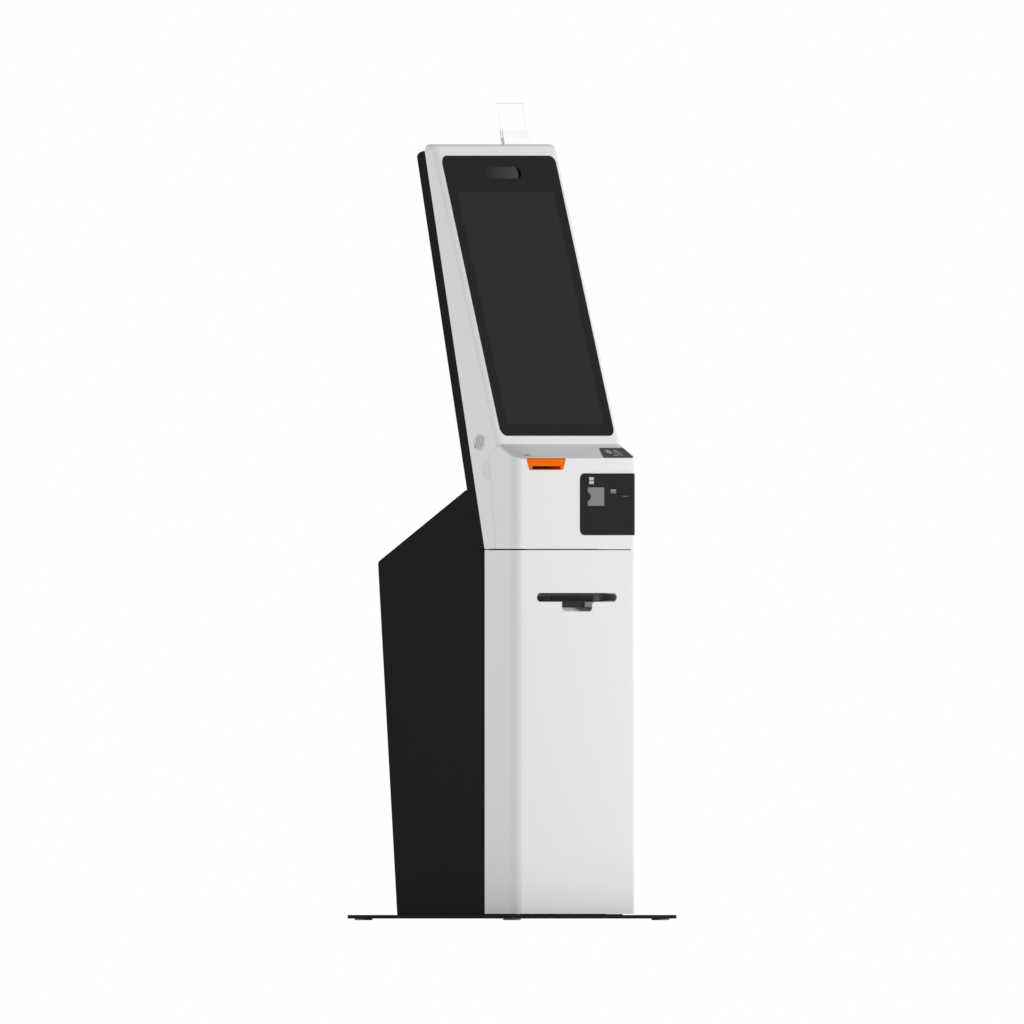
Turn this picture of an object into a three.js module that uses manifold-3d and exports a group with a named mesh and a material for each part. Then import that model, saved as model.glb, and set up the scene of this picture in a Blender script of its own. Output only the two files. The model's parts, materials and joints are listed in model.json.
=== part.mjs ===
// Ticket vending machine: a slim free-standing kiosk with a tilted touch screen, a service
// console, a hinged front door with the ticket outlet, and a steel cabinet behind the door.
// Millimetres, +Z up, the front faces -Y, origin on the floor under the middle of the base plate.

import * as THREE from 'three';
import { mergeVertices } from 'three/addons/utils/BufferGeometryUtils.js';
import Module from 'manifold-3d';

const wasm = await Module();
wasm.setup();

// ---- Driving dimensions ----
const HALF = 191.5; // half the width of the body and the head
const FRONT = -202; // front face of the door and the console
const CORNER = 23; // radius of the vertical front corners
const WALL = 3; // moulded shells and the door
const SHEET = 2; // steel sheet
const GAP = 0.3; // joint line between neighbours

const BASE_HALF = 256; // half the square base plate
const BASE_BOTTOM = 3.5;
const BASE_TOP = 11.5;
const FOOT_RADIUS = 20;
const FOOT_REACH = 231; // foot centres from the middle, both ways

const CABINET_FRONT = -103.5;
const CABINET_REAR = 166; // rear edge at the floor
const KNUCKLE = [226, 788]; // where the rear face meets the sloping top
const APEX_HEIGHT = 948; // where the sloping top meets the head
const REAR_LEAN = Math.atan2(KNUCKLE[0] - CABINET_REAR, KNUCKLE[1] - BASE_TOP);

const DOOR_BOTTOM = 14;
const DOOR_TOP = 814;
const DOOR_REAR = -106.5;
const HINGE = [-186, -111.5]; // vertical axis of the door
const HINGE_PIN_RADIUS = 2.2;
const RUNNING = 0.1; // radial clearance of a pin in its hole

const HEAD_BOTTOM = 817;
const HEAD_TOP = 1706.8;
const BACK_TOP = 1693; // top of the black back shell
const SCREEN_TILT = 17; // degrees from vertical
const BACK_TILT = 12;
const HEAD_EDGE = { reach: 17.5, radius: 24.7 }; // rounding along the front edges, creased at the side
const SHELF_REAR = [-149.5, 1046.8]; // (Y, Z) of the shelf's rear edge
const SHELF_FRONT_HEIGHT = 1016.4;
const SHELF_SLOPE = 30;
const SHELF_ROUND = 9; // radius along the shelf's side edges

const GLASS = { width: 354.4, height: 644.4, corner: 18.5, thick: 4, centre: 1373.8 };
const CAMERA = { width: 121, height: 29.4, corner: 13, below_top: 38.7 };
const DISPLAY = { width: 313, height: 545, drop: 28.2 }; // outline of the display panel

const OUTLET = { half: 124.4, bottom: 700.5, top: 719.8, depth: 37 };
const NOTCH = { half: 39, bottom: 688, depth: 15.4, flare: 7.5 }; // inner edge of the lip
const LOCK = { y: -150, z: 480, plug: 6, barrel: 8.7, flange: 11, reach: 35 };

const PAYMENT = { left: 9.4, side_end: -150, bottom: 847, top: 983, proud: 1.5 };
const CARD_WINDOW = { x: [32.5, 84.2], z: [911.2, 952.6], notch: 9 };
const CARD_SLOT = { x: [104.5, 159.5], z: [932.8, 935.2] };
const SCANNER = { x: -95.9, top: 63.2, bottom: 51.6, z: [990.7, 1022], brow: 1013.2 };
const SCAN_SLOT = { x: [-139.8, -51.8], z: [992.2, 998.8] };

const SPEAKER = { y: -90, z: 1051.5, radius: 17.9 };
const ACCESS_CAP = { y: -121.2, z: 990.7, radius: 20.3 };

const PLATEN = { y: -108, z: 711.4, radius: 7 };
const LID_HINGE = { y: -22, z: 700, radius: 3 };
const ROLL = { y: 68, z: 690, radius: 55, core: 12.8, half: 40 };
const SHELF_LEVEL = 611; // top of the printer shelf
const PRINTER_TOP = 690;

const SIGN = { x: [61, 139], top: 1798, thick: 5 };

const ARC_STEP = Math.PI / 10; // one facet of a rounded corner
const FINE_RADIUS = 8; // arcs larger than this have facets half as long

// ---- Finishes ----
const WHITE = { color: 0xe9eaeb, roughness: 0.45, metalness: 0 };
const BLACK_STEEL = { color: 0x202021, roughness: 0.6, metalness: 0.1 };
const GREY_STEEL = { color: 0x8c8f92, roughness: 0.5, metalness: 0.6 };
const BRIGHT = { color: 0xc9ccd0, roughness: 0.2, metalness: 1 };
const GLOSS_BLACK = { color: 0x252526, roughness: 0.15, metalness: 0 };
const DARK_PLASTIC = { color: 0x2a2a2a, roughness: 0.5, metalness: 0 };
const GREY_PLASTIC = { color: 0xb8b9ba, roughness: 0.6, metalness: 0 };
const ORANGE = { color: 0xee7119, roughness: 0.4, metalness: 0 };
const RUBBER = { color: 0x7e7e7e, roughness: 0.8, metalness: 0 };
const PAPER = { color: 0xf2f1ec, roughness: 0.9, metalness: 0 };
const CLEAR = { color: 0xf4f6f8, roughness: 0.1, metalness: 0 };

// ---- Shape tools ----
const rad = THREE.MathUtils.degToRad;
const tan = (degrees) => Math.tan(rad(degrees));

function solid(geometry) {
  geometry.deleteAttribute('normal');
  geometry.deleteAttribute('uv');
  const merged = mergeVertices(geometry, 1e-4);
  const vertProperties = new Float32Array(merged.attributes.position.array);
  const triVerts = new Uint32Array(merged.index.array);
  return new wasm.Manifold(new wasm.Mesh({ numProp: 3, vertProperties, triVerts }));
}

function geometryOf(shape) {
  const { vertProperties, triVerts } = shape.getMesh();
  const geometry = new THREE.BufferGeometry();
  geometry.setAttribute('position', new THREE.BufferAttribute(vertProperties, 3));
  geometry.setIndex(new THREE.BufferAttribute(triVerts, 1));
  geometry.computeVertexNormals();
  return geometry;
}

const join = (first, ...others) => others.reduce((whole, next) => whole.add(next), first);
const cut = (first, ...others) => others.reduce((whole, next) => whole.subtract(next), first);
const common = (first, ...others) => others.reduce((whole, next) => whole.intersect(next), first);

function box([x0, x1], [y0, y1], [z0, z1]) {
  const geometry = new THREE.BoxGeometry(x1 - x0, y1 - y0, z1 - z0);
  return solid(geometry.translate((x0 + x1) / 2, (y0 + y1) / 2, (z0 + z1) / 2));
}

// A closed outline through the corners [a, b, radius], each corner rounded to its radius.
function outline(corners) {
  const points = [];
  corners.forEach(([a, b, radius = 0], i) => {
    const corner = new THREE.Vector2(a, b);
    if (radius === 0) {
      points.push(corner);
      return;
    }
    const towards = (other) => new THREE.Vector2(other[0], other[1]).sub(corner).normalize();
    const back = towards(corners.at(i - 1));
    const ahead = towards(corners[(i + 1) % corners.length]);
    const half = Math.acos(back.dot(ahead)) / 2;
    const bisector = back.clone().add(ahead).normalize();
    const centre = corner.clone().addScaledVector(bisector, radius / Math.sin(half));
    const reach = radius / Math.tan(half);
    const start = corner.clone().addScaledVector(back, reach).sub(centre);
    const end = corner.clone().addScaledVector(ahead, reach).sub(centre);
    const sweep = (Math.PI - 2 * half) * Math.sign(start.cross(end));
    const facet = radius > FINE_RADIUS ? ARC_STEP / 2 : ARC_STEP;
    const steps = Math.ceil(Math.abs(sweep) / facet);
    for (let k = 0; k <= steps; k += 1) {
      const turned = start.clone().rotateAround(new THREE.Vector2(), (sweep * k) / steps);
      points.push(turned.add(centre));
    }
  });
  return points.filter((point, i) => point.distanceTo(points.at(i - 1)) > 1e-3);
}

function roundedRectangle([a0, a1], [b0, b1], radius) {
  return outline([[a0, b0, radius], [a1, b0, radius], [a1, b1, radius], [a0, b1, radius]]);
}

function circle([a, b], radius, sides = 24) {
  const step = (2 * Math.PI) / sides;
  const corner = (turn) => new THREE.Vector2(a + radius * Math.cos(turn), b + radius * Math.sin(turn));
  return Array.from({ length: sides }, (_, i) => corner(i * step));
}

// The outline's two axes and the direction it is extruded in, for a prism along each axis.
const PRISM_AXES = {
  x: [[0, 1, 0], [0, 0, 1], [1, 0, 0]],
  y: [[1, 0, 0], [0, 0, 1], [0, -1, 0]],
  z: [[1, 0, 0], [0, 1, 0], [0, 0, 1]],
};

function prism(axis, points, [from, to], placing = new THREE.Matrix4()) {
  const settings = { depth: to - from, bevelEnabled: false };
  const geometry = new THREE.ExtrudeGeometry(new THREE.Shape(points), settings);
  const [across, up, along] = PRISM_AXES[axis].map((v) => new THREE.Vector3(...v));
  geometry.applyMatrix4(new THREE.Matrix4().makeBasis(across, up, along));
  const start = axis === 'y' ? -to : from;
  geometry.translate(...along.multiplyScalar(start).toArray());
  return solid(geometry.applyMatrix4(placing));
}

const rod = (axis, centre, radius, span, sides) => prism(axis, circle(centre, radius, sides), span);

const machine = new THREE.Group();

function piece(name, shape, finish, parent = machine) {
  const mesh = new THREE.Mesh(geometryOf(shape), new THREE.MeshStandardMaterial(finish));
  mesh.name = name;
  parent.add(mesh);
  return mesh;
}

function group(x, y, z, tilt) {
  const holder = new THREE.Group();
  holder.position.set(x, y, z);
  holder.rotation.x = tilt;
  machine.add(holder);
  return holder;
}

// ---- Planes of the head, as Y at a height ----
const REFERENCE_HEIGHT = 1364.4;
const screenY = (z) => -52.4 + tan(SCREEN_TILT) * (z - REFERENCE_HEIGHT);
const partingY = (z) => 10.4 + tan(BACK_TILT) * (z - REFERENCE_HEIGHT);
const backY = (z) => 37.5 + tan(BACK_TILT) * (z - REFERENCE_HEIGHT);
const shelfZ = (y) => SHELF_FRONT_HEIGHT + tan(SHELF_SLOPE) * (y - FRONT);

// ---- Base: plate and four glide feet ----
function addBase() {
  const side = [-BASE_HALF, BASE_HALF];
  piece('base_plate', box(side, side, [BASE_BOTTOM, BASE_TOP]), BLACK_STEEL);
  for (const [row, y] of [['front', -FOOT_REACH], ['rear', FOOT_REACH]]) {
    for (const [hand, x] of [['left', -FOOT_REACH], ['right', FOOT_REACH]]) {
      piece(`foot_${row}_${hand}`, rod('z', [x, y], FOOT_RADIUS, [0, BASE_BOTTOM]), RUBBER);
    }
  }
}

// ---- Cabinet: sheet steel box behind the door, with a leaning back and a sloping top ----
function cabinetOutline(inset) {
  const slope = Math.atan2(APEX_HEIGHT - KNUCKLE[1], KNUCKLE[0] - backY(APEX_HEIGHT));
  const rear = inset / Math.cos(REAR_LEAN);
  const top = inset / Math.cos(slope);
  // The rear face leans out to the knuckle, and the sloping top falls to it.
  const turn = Math.PI / 2 - slope + REAR_LEAN;
  const inward = inset / Math.cos(turn / 2);
  const facing = turn / 2 - REAR_LEAN;
  return outline([
    [CABINET_FRONT, BASE_TOP],
    [CABINET_REAR - rear, BASE_TOP],
    [KNUCKLE[0] - inward * Math.cos(facing), KNUCKLE[1] - inward * Math.sin(facing), 10 - inset],
    [backY(APEX_HEIGHT) + 0.5, APEX_HEIGHT - top, 3],
    [backY(HEAD_BOTTOM) + 0.5, HEAD_BOTTOM - GAP],
    [CABINET_FRONT, DOOR_TOP],
  ]);
}

function addCabinet() {
  const inside = HALF - SHEET;
  const skin = cabinetOutline(0);
  piece('left_side_panel', prism('x', skin, [-HALF, -inside]), BLACK_STEEL);
  piece('right_side_panel', prism('x', skin, [inside, HALF]), BLACK_STEEL);

  const across = [GAP - inside, inside - GAP];
  const hood = cut(prism('x', skin, across), prism('x', cabinetOutline(SHEET), [-HALF, HALF]));
  const hoodZone = prism('x', [
    new THREE.Vector2(backY(APEX_HEIGHT) + 6, APEX_HEIGHT + 10),
    new THREE.Vector2(backY(APEX_HEIGHT) + 6, APEX_HEIGHT - 12),
    new THREE.Vector2(KNUCKLE[0] - 80, KNUCKLE[1] - 11),
    new THREE.Vector2(KNUCKLE[0] + 30, KNUCKLE[1] - 11),
    new THREE.Vector2(KNUCKLE[0] + 30, APEX_HEIGHT + 10),
  ], [-HALF, HALF]);
  piece('sloped_top_panel', common(hood, hoodZone), BLACK_STEEL);

  const pan = box([-184.7, 184.7], [-160, CABINET_REAR - 2.5], [BASE_TOP, BASE_TOP + SHEET]);
  const ear = box([-191.2, -180], [HINGE[1] - 7.5, CABINET_FRONT - 0.7], [BASE_TOP, BASE_TOP + SHEET]);
  piece('cabinet_floor', join(pan, ear), BLACK_STEEL);
  piece('cabinet_top_plate', box([-144, 144], [CABINET_FRONT, -80], [811, HEAD_BOTTOM]), BLACK_STEEL);

  const postHeight = [BASE_TOP + SHEET, 811];
  const angle = (hand) => {
    const corners = [
      [189.2, -103.5], [189.2, -78], [187.2, -78], [187.2, -101.5], [164, -101.5], [164, -103.5],
    ];
    const points = corners.map(([x, y]) => new THREE.Vector2(hand * x, y));
    return hand > 0 ? points : points.reverse();
  };
  piece('right_corner_post', prism('z', angle(1), postHeight), BLACK_STEEL);
  piece('left_corner_post', prism('z', angle(-1), postHeight), BLACK_STEEL);

  piece('lower_hinge_pin', rod('z', HINGE, HINGE_PIN_RADIUS, [BASE_TOP + SHEET, 24]), BRIGHT);
  const bracket = box([-189.2, -165], [HINGE[1] - 7, CABINET_FRONT], [814.5, 816.5]);
  const pin = rod('z', HINGE, HINGE_PIN_RADIUS, [803, 815]);
  piece('upper_hinge_bracket', join(bracket, pin), BRIGHT);

  const strikeX = [160, 175];
  const strike = join(
    box(strikeX, [-160, CABINET_FRONT], [436, 439]),
    box(strikeX, [-160, -157.5], [436, 462]),
    box([160, 185], [CABINET_FRONT - SHEET, CABINET_FRONT], [420, 439]),
  );
  piece('lock_strike', strike, BRIGHT);
}

// ---- Rear: panel with a vented cover, mains inlet and rocker switch ----
const INLET = { x: [-150, -100], z: [40, 105] };
const ROCKER = { x: [-134.7, -115.3], y: -2, z: 90, tilt: -8 };

function addRear() {
  const rear = group(0, CABINET_REAR, BASE_TOP, -REAR_LEAN);
  const slots = [];
  for (let z = 285; z <= 485; z += 20) {
    slots.push(box([-90, -5], [-3, 3], [z, z + 5]), box([5, 90], [-3, 3], [z, z + 5]));
  }
  const panel = cut(
    box([GAP + SHEET - HALF, HALF - SHEET - GAP], [-SHEET, 0], [2.3, 764.5]),
    box([-144.8, -105.2], [-SHEET - 1, 1], [44.7, 100.3]),
    ...slots,
  );
  piece('rear_panel', panel, BLACK_STEEL, rear);

  const cover = box([-130, 130], [GAP, 1.8], [250, 520]);
  piece('rear_service_cover', cut(cover, ...slots), BLACK_STEEL, rear);

  const inlet = cut(
    join(box(INLET.x, [GAP, 2.3], INLET.z), box([-144.5, -105.5], [-30, 1], [45, 100])),
    box([-138, -112], [-16, 3], [51, 68]),
    box([ROCKER.x[0] - 0.8, ROCKER.x[1] + 0.8], [-12, 3], [ROCKER.z - 9, ROCKER.z + 9]),
  );
  piece('power_inlet', inlet, DARK_PLASTIC, rear);

  const profile = outline([[-5, -3], [-1, -8], [1.5, -8], [0.4, 0], [1.5, 8], [-1, 8], [-5, 3]]);
  const rocker = piece('power_switch', prism('x', profile, ROCKER.x), GLOSS_BLACK, rear);
  rocker.position.set(0, ROCKER.y, ROCKER.z);
  rocker.rotation.x = rad(ROCKER.tilt);

  piece('power_supply', box([-60, 60], [40, 150], [BASE_TOP + SHEET, 80]), GREY_STEEL);
}

// ---- Door: wrap-round shell, ticket outlet and cam lock ----
function bodySection(inset, rear) {
  const side = HALF - inset;
  const front = FRONT + inset;
  const radius = CORNER - inset;
  return outline([[-side, rear], [-side, front, radius], [side, front, radius], [side, rear]]);
}

// The lip under the outlet: its sides run out in a curve along the outlet's lower edge.
const lipOutline = (grow) => outline([
  [-56 - grow, 700.4 + grow],
  [-56 - grow, 699.9],
  [-47.7 - grow, 699.9, 8],
  [-47.7 - grow, 679.3 - grow, 10],
  [47.7 + grow, 679.3 - grow, 10],
  [47.7 + grow, 699.9, 8],
  [56 + grow, 699.9],
  [56 + grow, 700.4 + grow],
]);

// The finger space: it narrows from the door's face to the lip's inner edge.
function fingerSpace() {
  const { half, bottom, depth, flare } = NOTCH;
  const inner = outline([[-half, 703], [-half, bottom, 3], [half, bottom, 3], [half, 703]]);
  const bevel = { bevelThickness: depth, bevelSize: flare, bevelSegments: 1 };
  const geometry = new THREE.ExtrudeGeometry(new THREE.Shape(inner), { depth: 10, ...bevel });
  geometry.applyMatrix4(new THREE.Matrix4().makeBasis(
    new THREE.Vector3(1, 0, 0), new THREE.Vector3(0, 0, 1), new THREE.Vector3(0, -1, 0)));
  return solid(geometry.translate(0, FRONT, 0));
}

function addDoor() {
  const { half, bottom, top, depth } = OUTLET;
  const round = (top - bottom) / 2;
  const stadium = (inset) => roundedRectangle(
    [inset - half, half - inset], [bottom + inset, top - inset], round - inset);
  const mouth = [FRONT - 1, FRONT + WALL + 1];

  const door = cut(
    prism('z', bodySection(0, DOOR_REAR), [DOOR_BOTTOM, DOOR_TOP]),
    prism('z', bodySection(WALL, DOOR_REAR + 10), [DOOR_BOTTOM + WALL, DOOR_TOP - WALL]),
    prism('y', stadium(0), mouth),
    prism('y', lipOutline(GAP), mouth),
    rod('z', HINGE, HINGE_PIN_RADIUS + RUNNING, [DOOR_BOTTOM - 1, DOOR_BOTTOM + WALL + 1]),
    rod('z', HINGE, HINGE_PIN_RADIUS + RUNNING, [DOOR_TOP - WALL - 1, DOOR_TOP + 1]),
    rod('x', [LOCK.y, LOCK.z], LOCK.barrel + GAP, [HALF - WALL - 1, HALF + 1]),
  );
  piece('front_door', door, WHITE);

  const back = FRONT + depth;
  const tongueFront = FRONT + NOTCH.depth;
  const bezel = cut(
    join(
      prism('y', stadium(GAP), [FRONT - GAP, back]),
      box([-42, 42], [tongueFront, tongueFront + 2], [686, 703]),
    ),
    prism('y', stadium(1.8), [FRONT - 1, back - 2]),
    box([-42, 42], [back - 3, back + 1], [706, 712]),
    fingerSpace(),
  );
  piece('outlet_bezel', bezel, GLOSS_BLACK);
  const lip = prism('y', lipOutline(0), [FRONT - 0.2, tongueFront - GAP]);
  piece('ticket_lip', cut(lip, fingerSpace()), BRIGHT);

  const centre = [LOCK.y, LOCK.z];
  const barrel = cut(
    join(rod('x', centre, LOCK.barrel, [172, 193]), rod('x', centre, LOCK.flange, [HALF + GAP, HALF + 2.3])),
    rod('x', centre, LOCK.plug + RUNNING, [170, 196]),
  );
  piece('lock_barrel', barrel, BRIGHT);
  const keyway = box([188, 196], [LOCK.y - 0.8, LOCK.y + 0.8], [LOCK.z - 3.5, LOCK.z + 3.5]);
  piece('lock_cylinder', cut(rod('x', centre, LOCK.plug, [170, 193.2]), keyway), BRIGHT);
  const cam = prism('x', outline([
    [LOCK.y - 7, LOCK.z - 7, 6], [LOCK.y + LOCK.reach, LOCK.z - 7, 6],
    [LOCK.y + LOCK.reach, LOCK.z + 7, 6], [LOCK.y - 7, LOCK.z + 7, 6],
  ]), [166.7, 169.7]);
  piece('lock_cam', cam, BRIGHT);
}

// ---- Ticket printer on its shelf, with the paper roll behind it ----
function addPrinter() {
  const shelf = join(
    box([-189.2, 189.2], [-77, 150], [SHELF_LEVEL - SHEET, SHELF_LEVEL]),
    box([-160, 160], [-140, -77], [SHELF_LEVEL - SHEET, SHELF_LEVEL]),
  );
  piece('printer_shelf', shelf, GREY_STEEL);

  const hingeAt = [LID_HINGE.y, LID_HINGE.z];
  const ears = [-1, 1].map((hand) => join(
    box(hand > 0 ? [51.2, 54.2] : [-54.2, -51.2], [-30, -14], [PRINTER_TOP - 1, 707]),
    rod('x', hingeAt, LID_HINGE.radius, hand > 0 ? [47, 52] : [-52, -47]),
  ));
  const base = join(
    box([-60, 60], [-135, -12], [SHELF_LEVEL, PRINTER_TOP]),
    box([-44, 44], [-163, -122], [684, 704]),
    ...ears,
  );
  const button = [50, 650];
  piece('printer_base', cut(base, rod('y', button, 6.3, [-136, -127])), DARK_PLASTIC);
  piece('feed_button', rod('y', button, 6, [-138, -129.5]), GREY_PLASTIC);
  piece('print_head', box([-42, 42], [-116, -100], [PRINTER_TOP, 704]), GREY_STEEL);

  const cheek = outline([
    [-120, 704, 4], [-120, 723], [-22, 723], [-13, 709, 8], [-13, 691, 8.9], [-32, 691, 4], [-60, 700],
  ]);
  const lid = cut(
    join(
      prism('x', cheek, [47.5, 50.5]),
      prism('x', cheek, [-50.5, -47.5]),
      box([-50.5, 50.5], [-120, -24], [720, 723]),
    ),
    rod('x', hingeAt, LID_HINGE.radius + RUNNING, [-52, 52]),
    rod('x', [PLATEN.y, PLATEN.z], 3 + RUNNING, [-52, 52]),
    rod('x', [-90, PLATEN.z], 2 + RUNNING, [40, 52]),
  );
  piece('printer_lid', lid, DARK_PLASTIC);

  const shaft = rod('x', [PLATEN.y, PLATEN.z], 3, [-50.3, 50.3]);
  const roller = rod('x', [PLATEN.y, PLATEN.z], PLATEN.radius, [-46.9, 46.9]);
  piece('platen_roller', join(shaft, roller), RUBBER);

  const lever = outline([[-124, 708, 2], [-84, 706, 4], [-84, 717, 4], [-124, 713, 2]]);
  const stub = rod('x', [-90, PLATEN.z], 2, [47.6, 52]);
  piece('lid_lever', join(prism('x', lever, [51, 54]), stub), ORANGE);

  const seat = [ROLL.y, ROLL.z];
  const cheekSpan = [[-49.8, -47.3], [47.3, 49.8]];
  const bracket = cut(
    join(
      box([-49.8, 49.8], [ROLL.y - 20, ROLL.y + 20], [SHELF_LEVEL, 614]),
      ...cheekSpan.map((span) => box(span, [ROLL.y - 20, ROLL.y + 20], [SHELF_LEVEL, 702])),
    ),
    rod('x', seat, 5 + RUNNING, [-52, 52]),
    box([-52, 52], [ROLL.y - 5 - RUNNING, ROLL.y + 5 + RUNNING], [ROLL.z, 704]),
  );
  piece('roll_bracket', bracket, GREY_STEEL);
  const spindle = join(rod('x', seat, 12.5, [-46.8, 46.8]), rod('x', seat, 5, [-50.3, 50.3]));
  piece('roll_spindle', spindle, GREY_PLASTIC);
  const width = [-ROLL.half, ROLL.half];
  const paper = cut(rod('x', seat, ROLL.radius, width, 32), rod('x', seat, ROLL.core, [-50, 50]));
  piece('paper_roll', paper, PAPER);
}

// ---- Head: white front shell and black back shell, both open towards each other ----
const screenPlacing = new THREE.Matrix4()
  .makeTranslation(0, screenY(GLASS.centre), GLASS.centre)
  .multiply(new THREE.Matrix4().makeRotationX(rad(90 - SCREEN_TILT)));

const glassOutline = (grow) => roundedRectangle(
  [-GLASS.width / 2 - grow, GLASS.width / 2 + grow],
  [-GLASS.height / 2 - grow, GLASS.height / 2 + grow],
  GLASS.corner + grow,
);

const seamCorner = [-120.5, 1028];
const seamRadius = 16;
const seamFoot = -140.8;

const headOutline = outline([
  [partingY(HEAD_BOTTOM), HEAD_BOTTOM],
  [seamFoot, HEAD_BOTTOM],
  [...seamCorner, seamRadius],
  [SHELF_REAR[0] + 0.1, SHELF_REAR[1] + 0.4],
  [screenY(HEAD_TOP), HEAD_TOP, 12],
  [partingY(HEAD_TOP), HEAD_TOP],
]);

// Seen from the front: square at the foot, rounded at the two top corners.
const archOutline = (top, inset, radius) => outline([
  [inset - HALF, 0], [HALF - inset, 0], [HALF - inset, top, radius], [inset - HALF, top, radius],
]);

function addHeadShells() {
  const frontEdges = (inset) => {
    const { reach, radius } = HEAD_EDGE;
    const sweep = Math.asin((reach - inset) / (radius - inset));
    const facets = 7;
    const edge = (hand, k) => {
      const turn = (sweep * k) / facets;
      const across = HALF - reach + (radius - inset) * Math.sin(turn);
      return new THREE.Vector2(hand * across, (radius - inset) * Math.cos(turn) - radius);
    };
    const rise = Array.from({ length: facets + 1 }, (_, k) => edge(1, facets - k));
    const fall = Array.from({ length: facets + 1 }, (_, k) => edge(-1, k));
    return [new THREE.Vector2(inset - HALF, -500), new THREE.Vector2(HALF - inset, -500), ...rise, ...fall];
  };
  const edgeTurn = screenPlacing.clone().multiply(new THREE.Matrix4().makeRotationX(Math.PI / 2));
  const lower = screenY(SHELF_REAR[1]) + 3.2;
  const hollow = prism('x', outline([
    [250, HEAD_BOTTOM + WALL], [250, BACK_TOP - WALL],
    [partingY(BACK_TOP) - WALL - 1, BACK_TOP - WALL], [partingY(BACK_TOP) - WALL + 1, HEAD_TOP - WALL],
    [screenY(HEAD_TOP - WALL) + 3.2, HEAD_TOP - WALL, 9],
    [lower, SHELF_REAR[1] + 0.2], [-240, SHELF_REAR[1] + 0.2], [-240, HEAD_BOTTOM + WALL],
  ]), [WALL - HALF, HALF - WALL]);
  const speakerHole = rod('x', [SPEAKER.y, SPEAKER.z], SPEAKER.radius + GAP, [-200, 200]);
  const capHole = rod('x', [ACCESS_CAP.y, ACCESS_CAP.z], ACCESS_CAP.radius + GAP, [-200, 200]);
  const shell = cut(
    common(
      prism('x', headOutline, [-HALF, HALF]),
      prism('z', frontEdges(0), [-600, 600], edgeTurn),
      prism('y', archOutline(HEAD_TOP, 0, 18), [-300, 300]),
    ),
    common(
      hollow,
      prism('z', frontEdges(WALL), [-600, 600], edgeTurn),
      prism('y', archOutline(HEAD_TOP - WALL, WALL, 15), [-300, 300]),
    ),
    prism('z', glassOutline(GAP), [-10, 10], screenPlacing),
    speakerHole,
    capHole,
  );
  piece('head_front_shell', shell, WHITE);

  const step = GAP / Math.cos(rad(BACK_TILT));
  const backOutline = (inset, open) => outline([
    [partingY(HEAD_BOTTOM) + step - open, HEAD_BOTTOM + inset],
    [backY(HEAD_BOTTOM + inset) - inset, HEAD_BOTTOM + inset],
    [backY(BACK_TOP - inset) - inset, BACK_TOP - inset, 12 - inset],
    [partingY(BACK_TOP) + step - open, BACK_TOP - inset],
  ]);
  const vents = [];
  for (let z = 1480; z <= 1600; z += 15) {
    vents.push(box([-80, 80], [backY(z) - 8, backY(z) + 8], [z, z + 5]));
  }
  const back = cut(
    common(
      prism('x', backOutline(0, 0), [-HALF, HALF]),
      prism('y', archOutline(BACK_TOP, 0, 16), [-300, 300]),
    ),
    common(
      prism('x', backOutline(WALL, 60), [WALL - HALF, HALF - WALL]),
      prism('y', archOutline(BACK_TOP - WALL, WALL, 13), [-300, 300]),
    ),
    ...vents,
  );
  piece('head_back_shell', back, BLACK_STEEL);
}

// ---- Screen stack, set out in the plane of the glass: X across, Y up the glass, Z outwards ----
function addScreen() {
  const screen = group(0, screenY(GLASS.centre), GLASS.centre, rad(90 - SCREEN_TILT));
  const cameraY = GLASS.height / 2 - CAMERA.below_top;
  const behind = -GLASS.thick - GAP;
  const opening = roundedRectangle(
    [-CAMERA.width / 2, CAMERA.width / 2],
    [cameraY - CAMERA.height / 2, cameraY + CAMERA.height / 2],
    CAMERA.corner,
  );
  const glass = cut(prism('z', glassOutline(0), [-GLASS.thick, 0]), prism('z', opening, [-10, 10]));
  piece('touch_glass', glass, GLOSS_BLACK, screen);
  const window = box([-64.5, 64.5], [cameraY - 18, cameraY + 18], [behind - 1.5, behind]);
  piece('camera_window', window, GLOSS_BLACK, screen);
  const camera = join(
    box([-17, 17], [cameraY - 12, cameraY + 12], [-30, -14]),
    rod('z', [0, cameraY], 8, [-15, behind - 2]),
  );
  piece('camera_module', camera, DARK_PLASTIC, screen);

  const lcdX = [-DISPLAY.width / 2, DISPLAY.width / 2];
  const lcdY = [-DISPLAY.drop - DISPLAY.height / 2, -DISPLAY.drop + DISPLAY.height / 2];
  piece('lcd_panel', box(lcdX, lcdY, [behind - 9, behind]), GREY_STEEL, screen);
  const frame = cut(
    box([-181, 181], [-332, 332], [behind - 3, behind]),
    box([lcdX[0] - 0.5, lcdX[1] + 0.5], [lcdY[0] - 0.5, lcdY[1] + 0.5], [-20, 0]),
    box([-66, 66], [cameraY - 20, cameraY + 20], [-20, 0]),
  );
  piece('screen_frame', frame, GREY_STEEL, screen);
  piece('computer_module', box([-90, 90], [-120, 20], [-50, -18]), GREY_STEEL, screen);
}

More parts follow.
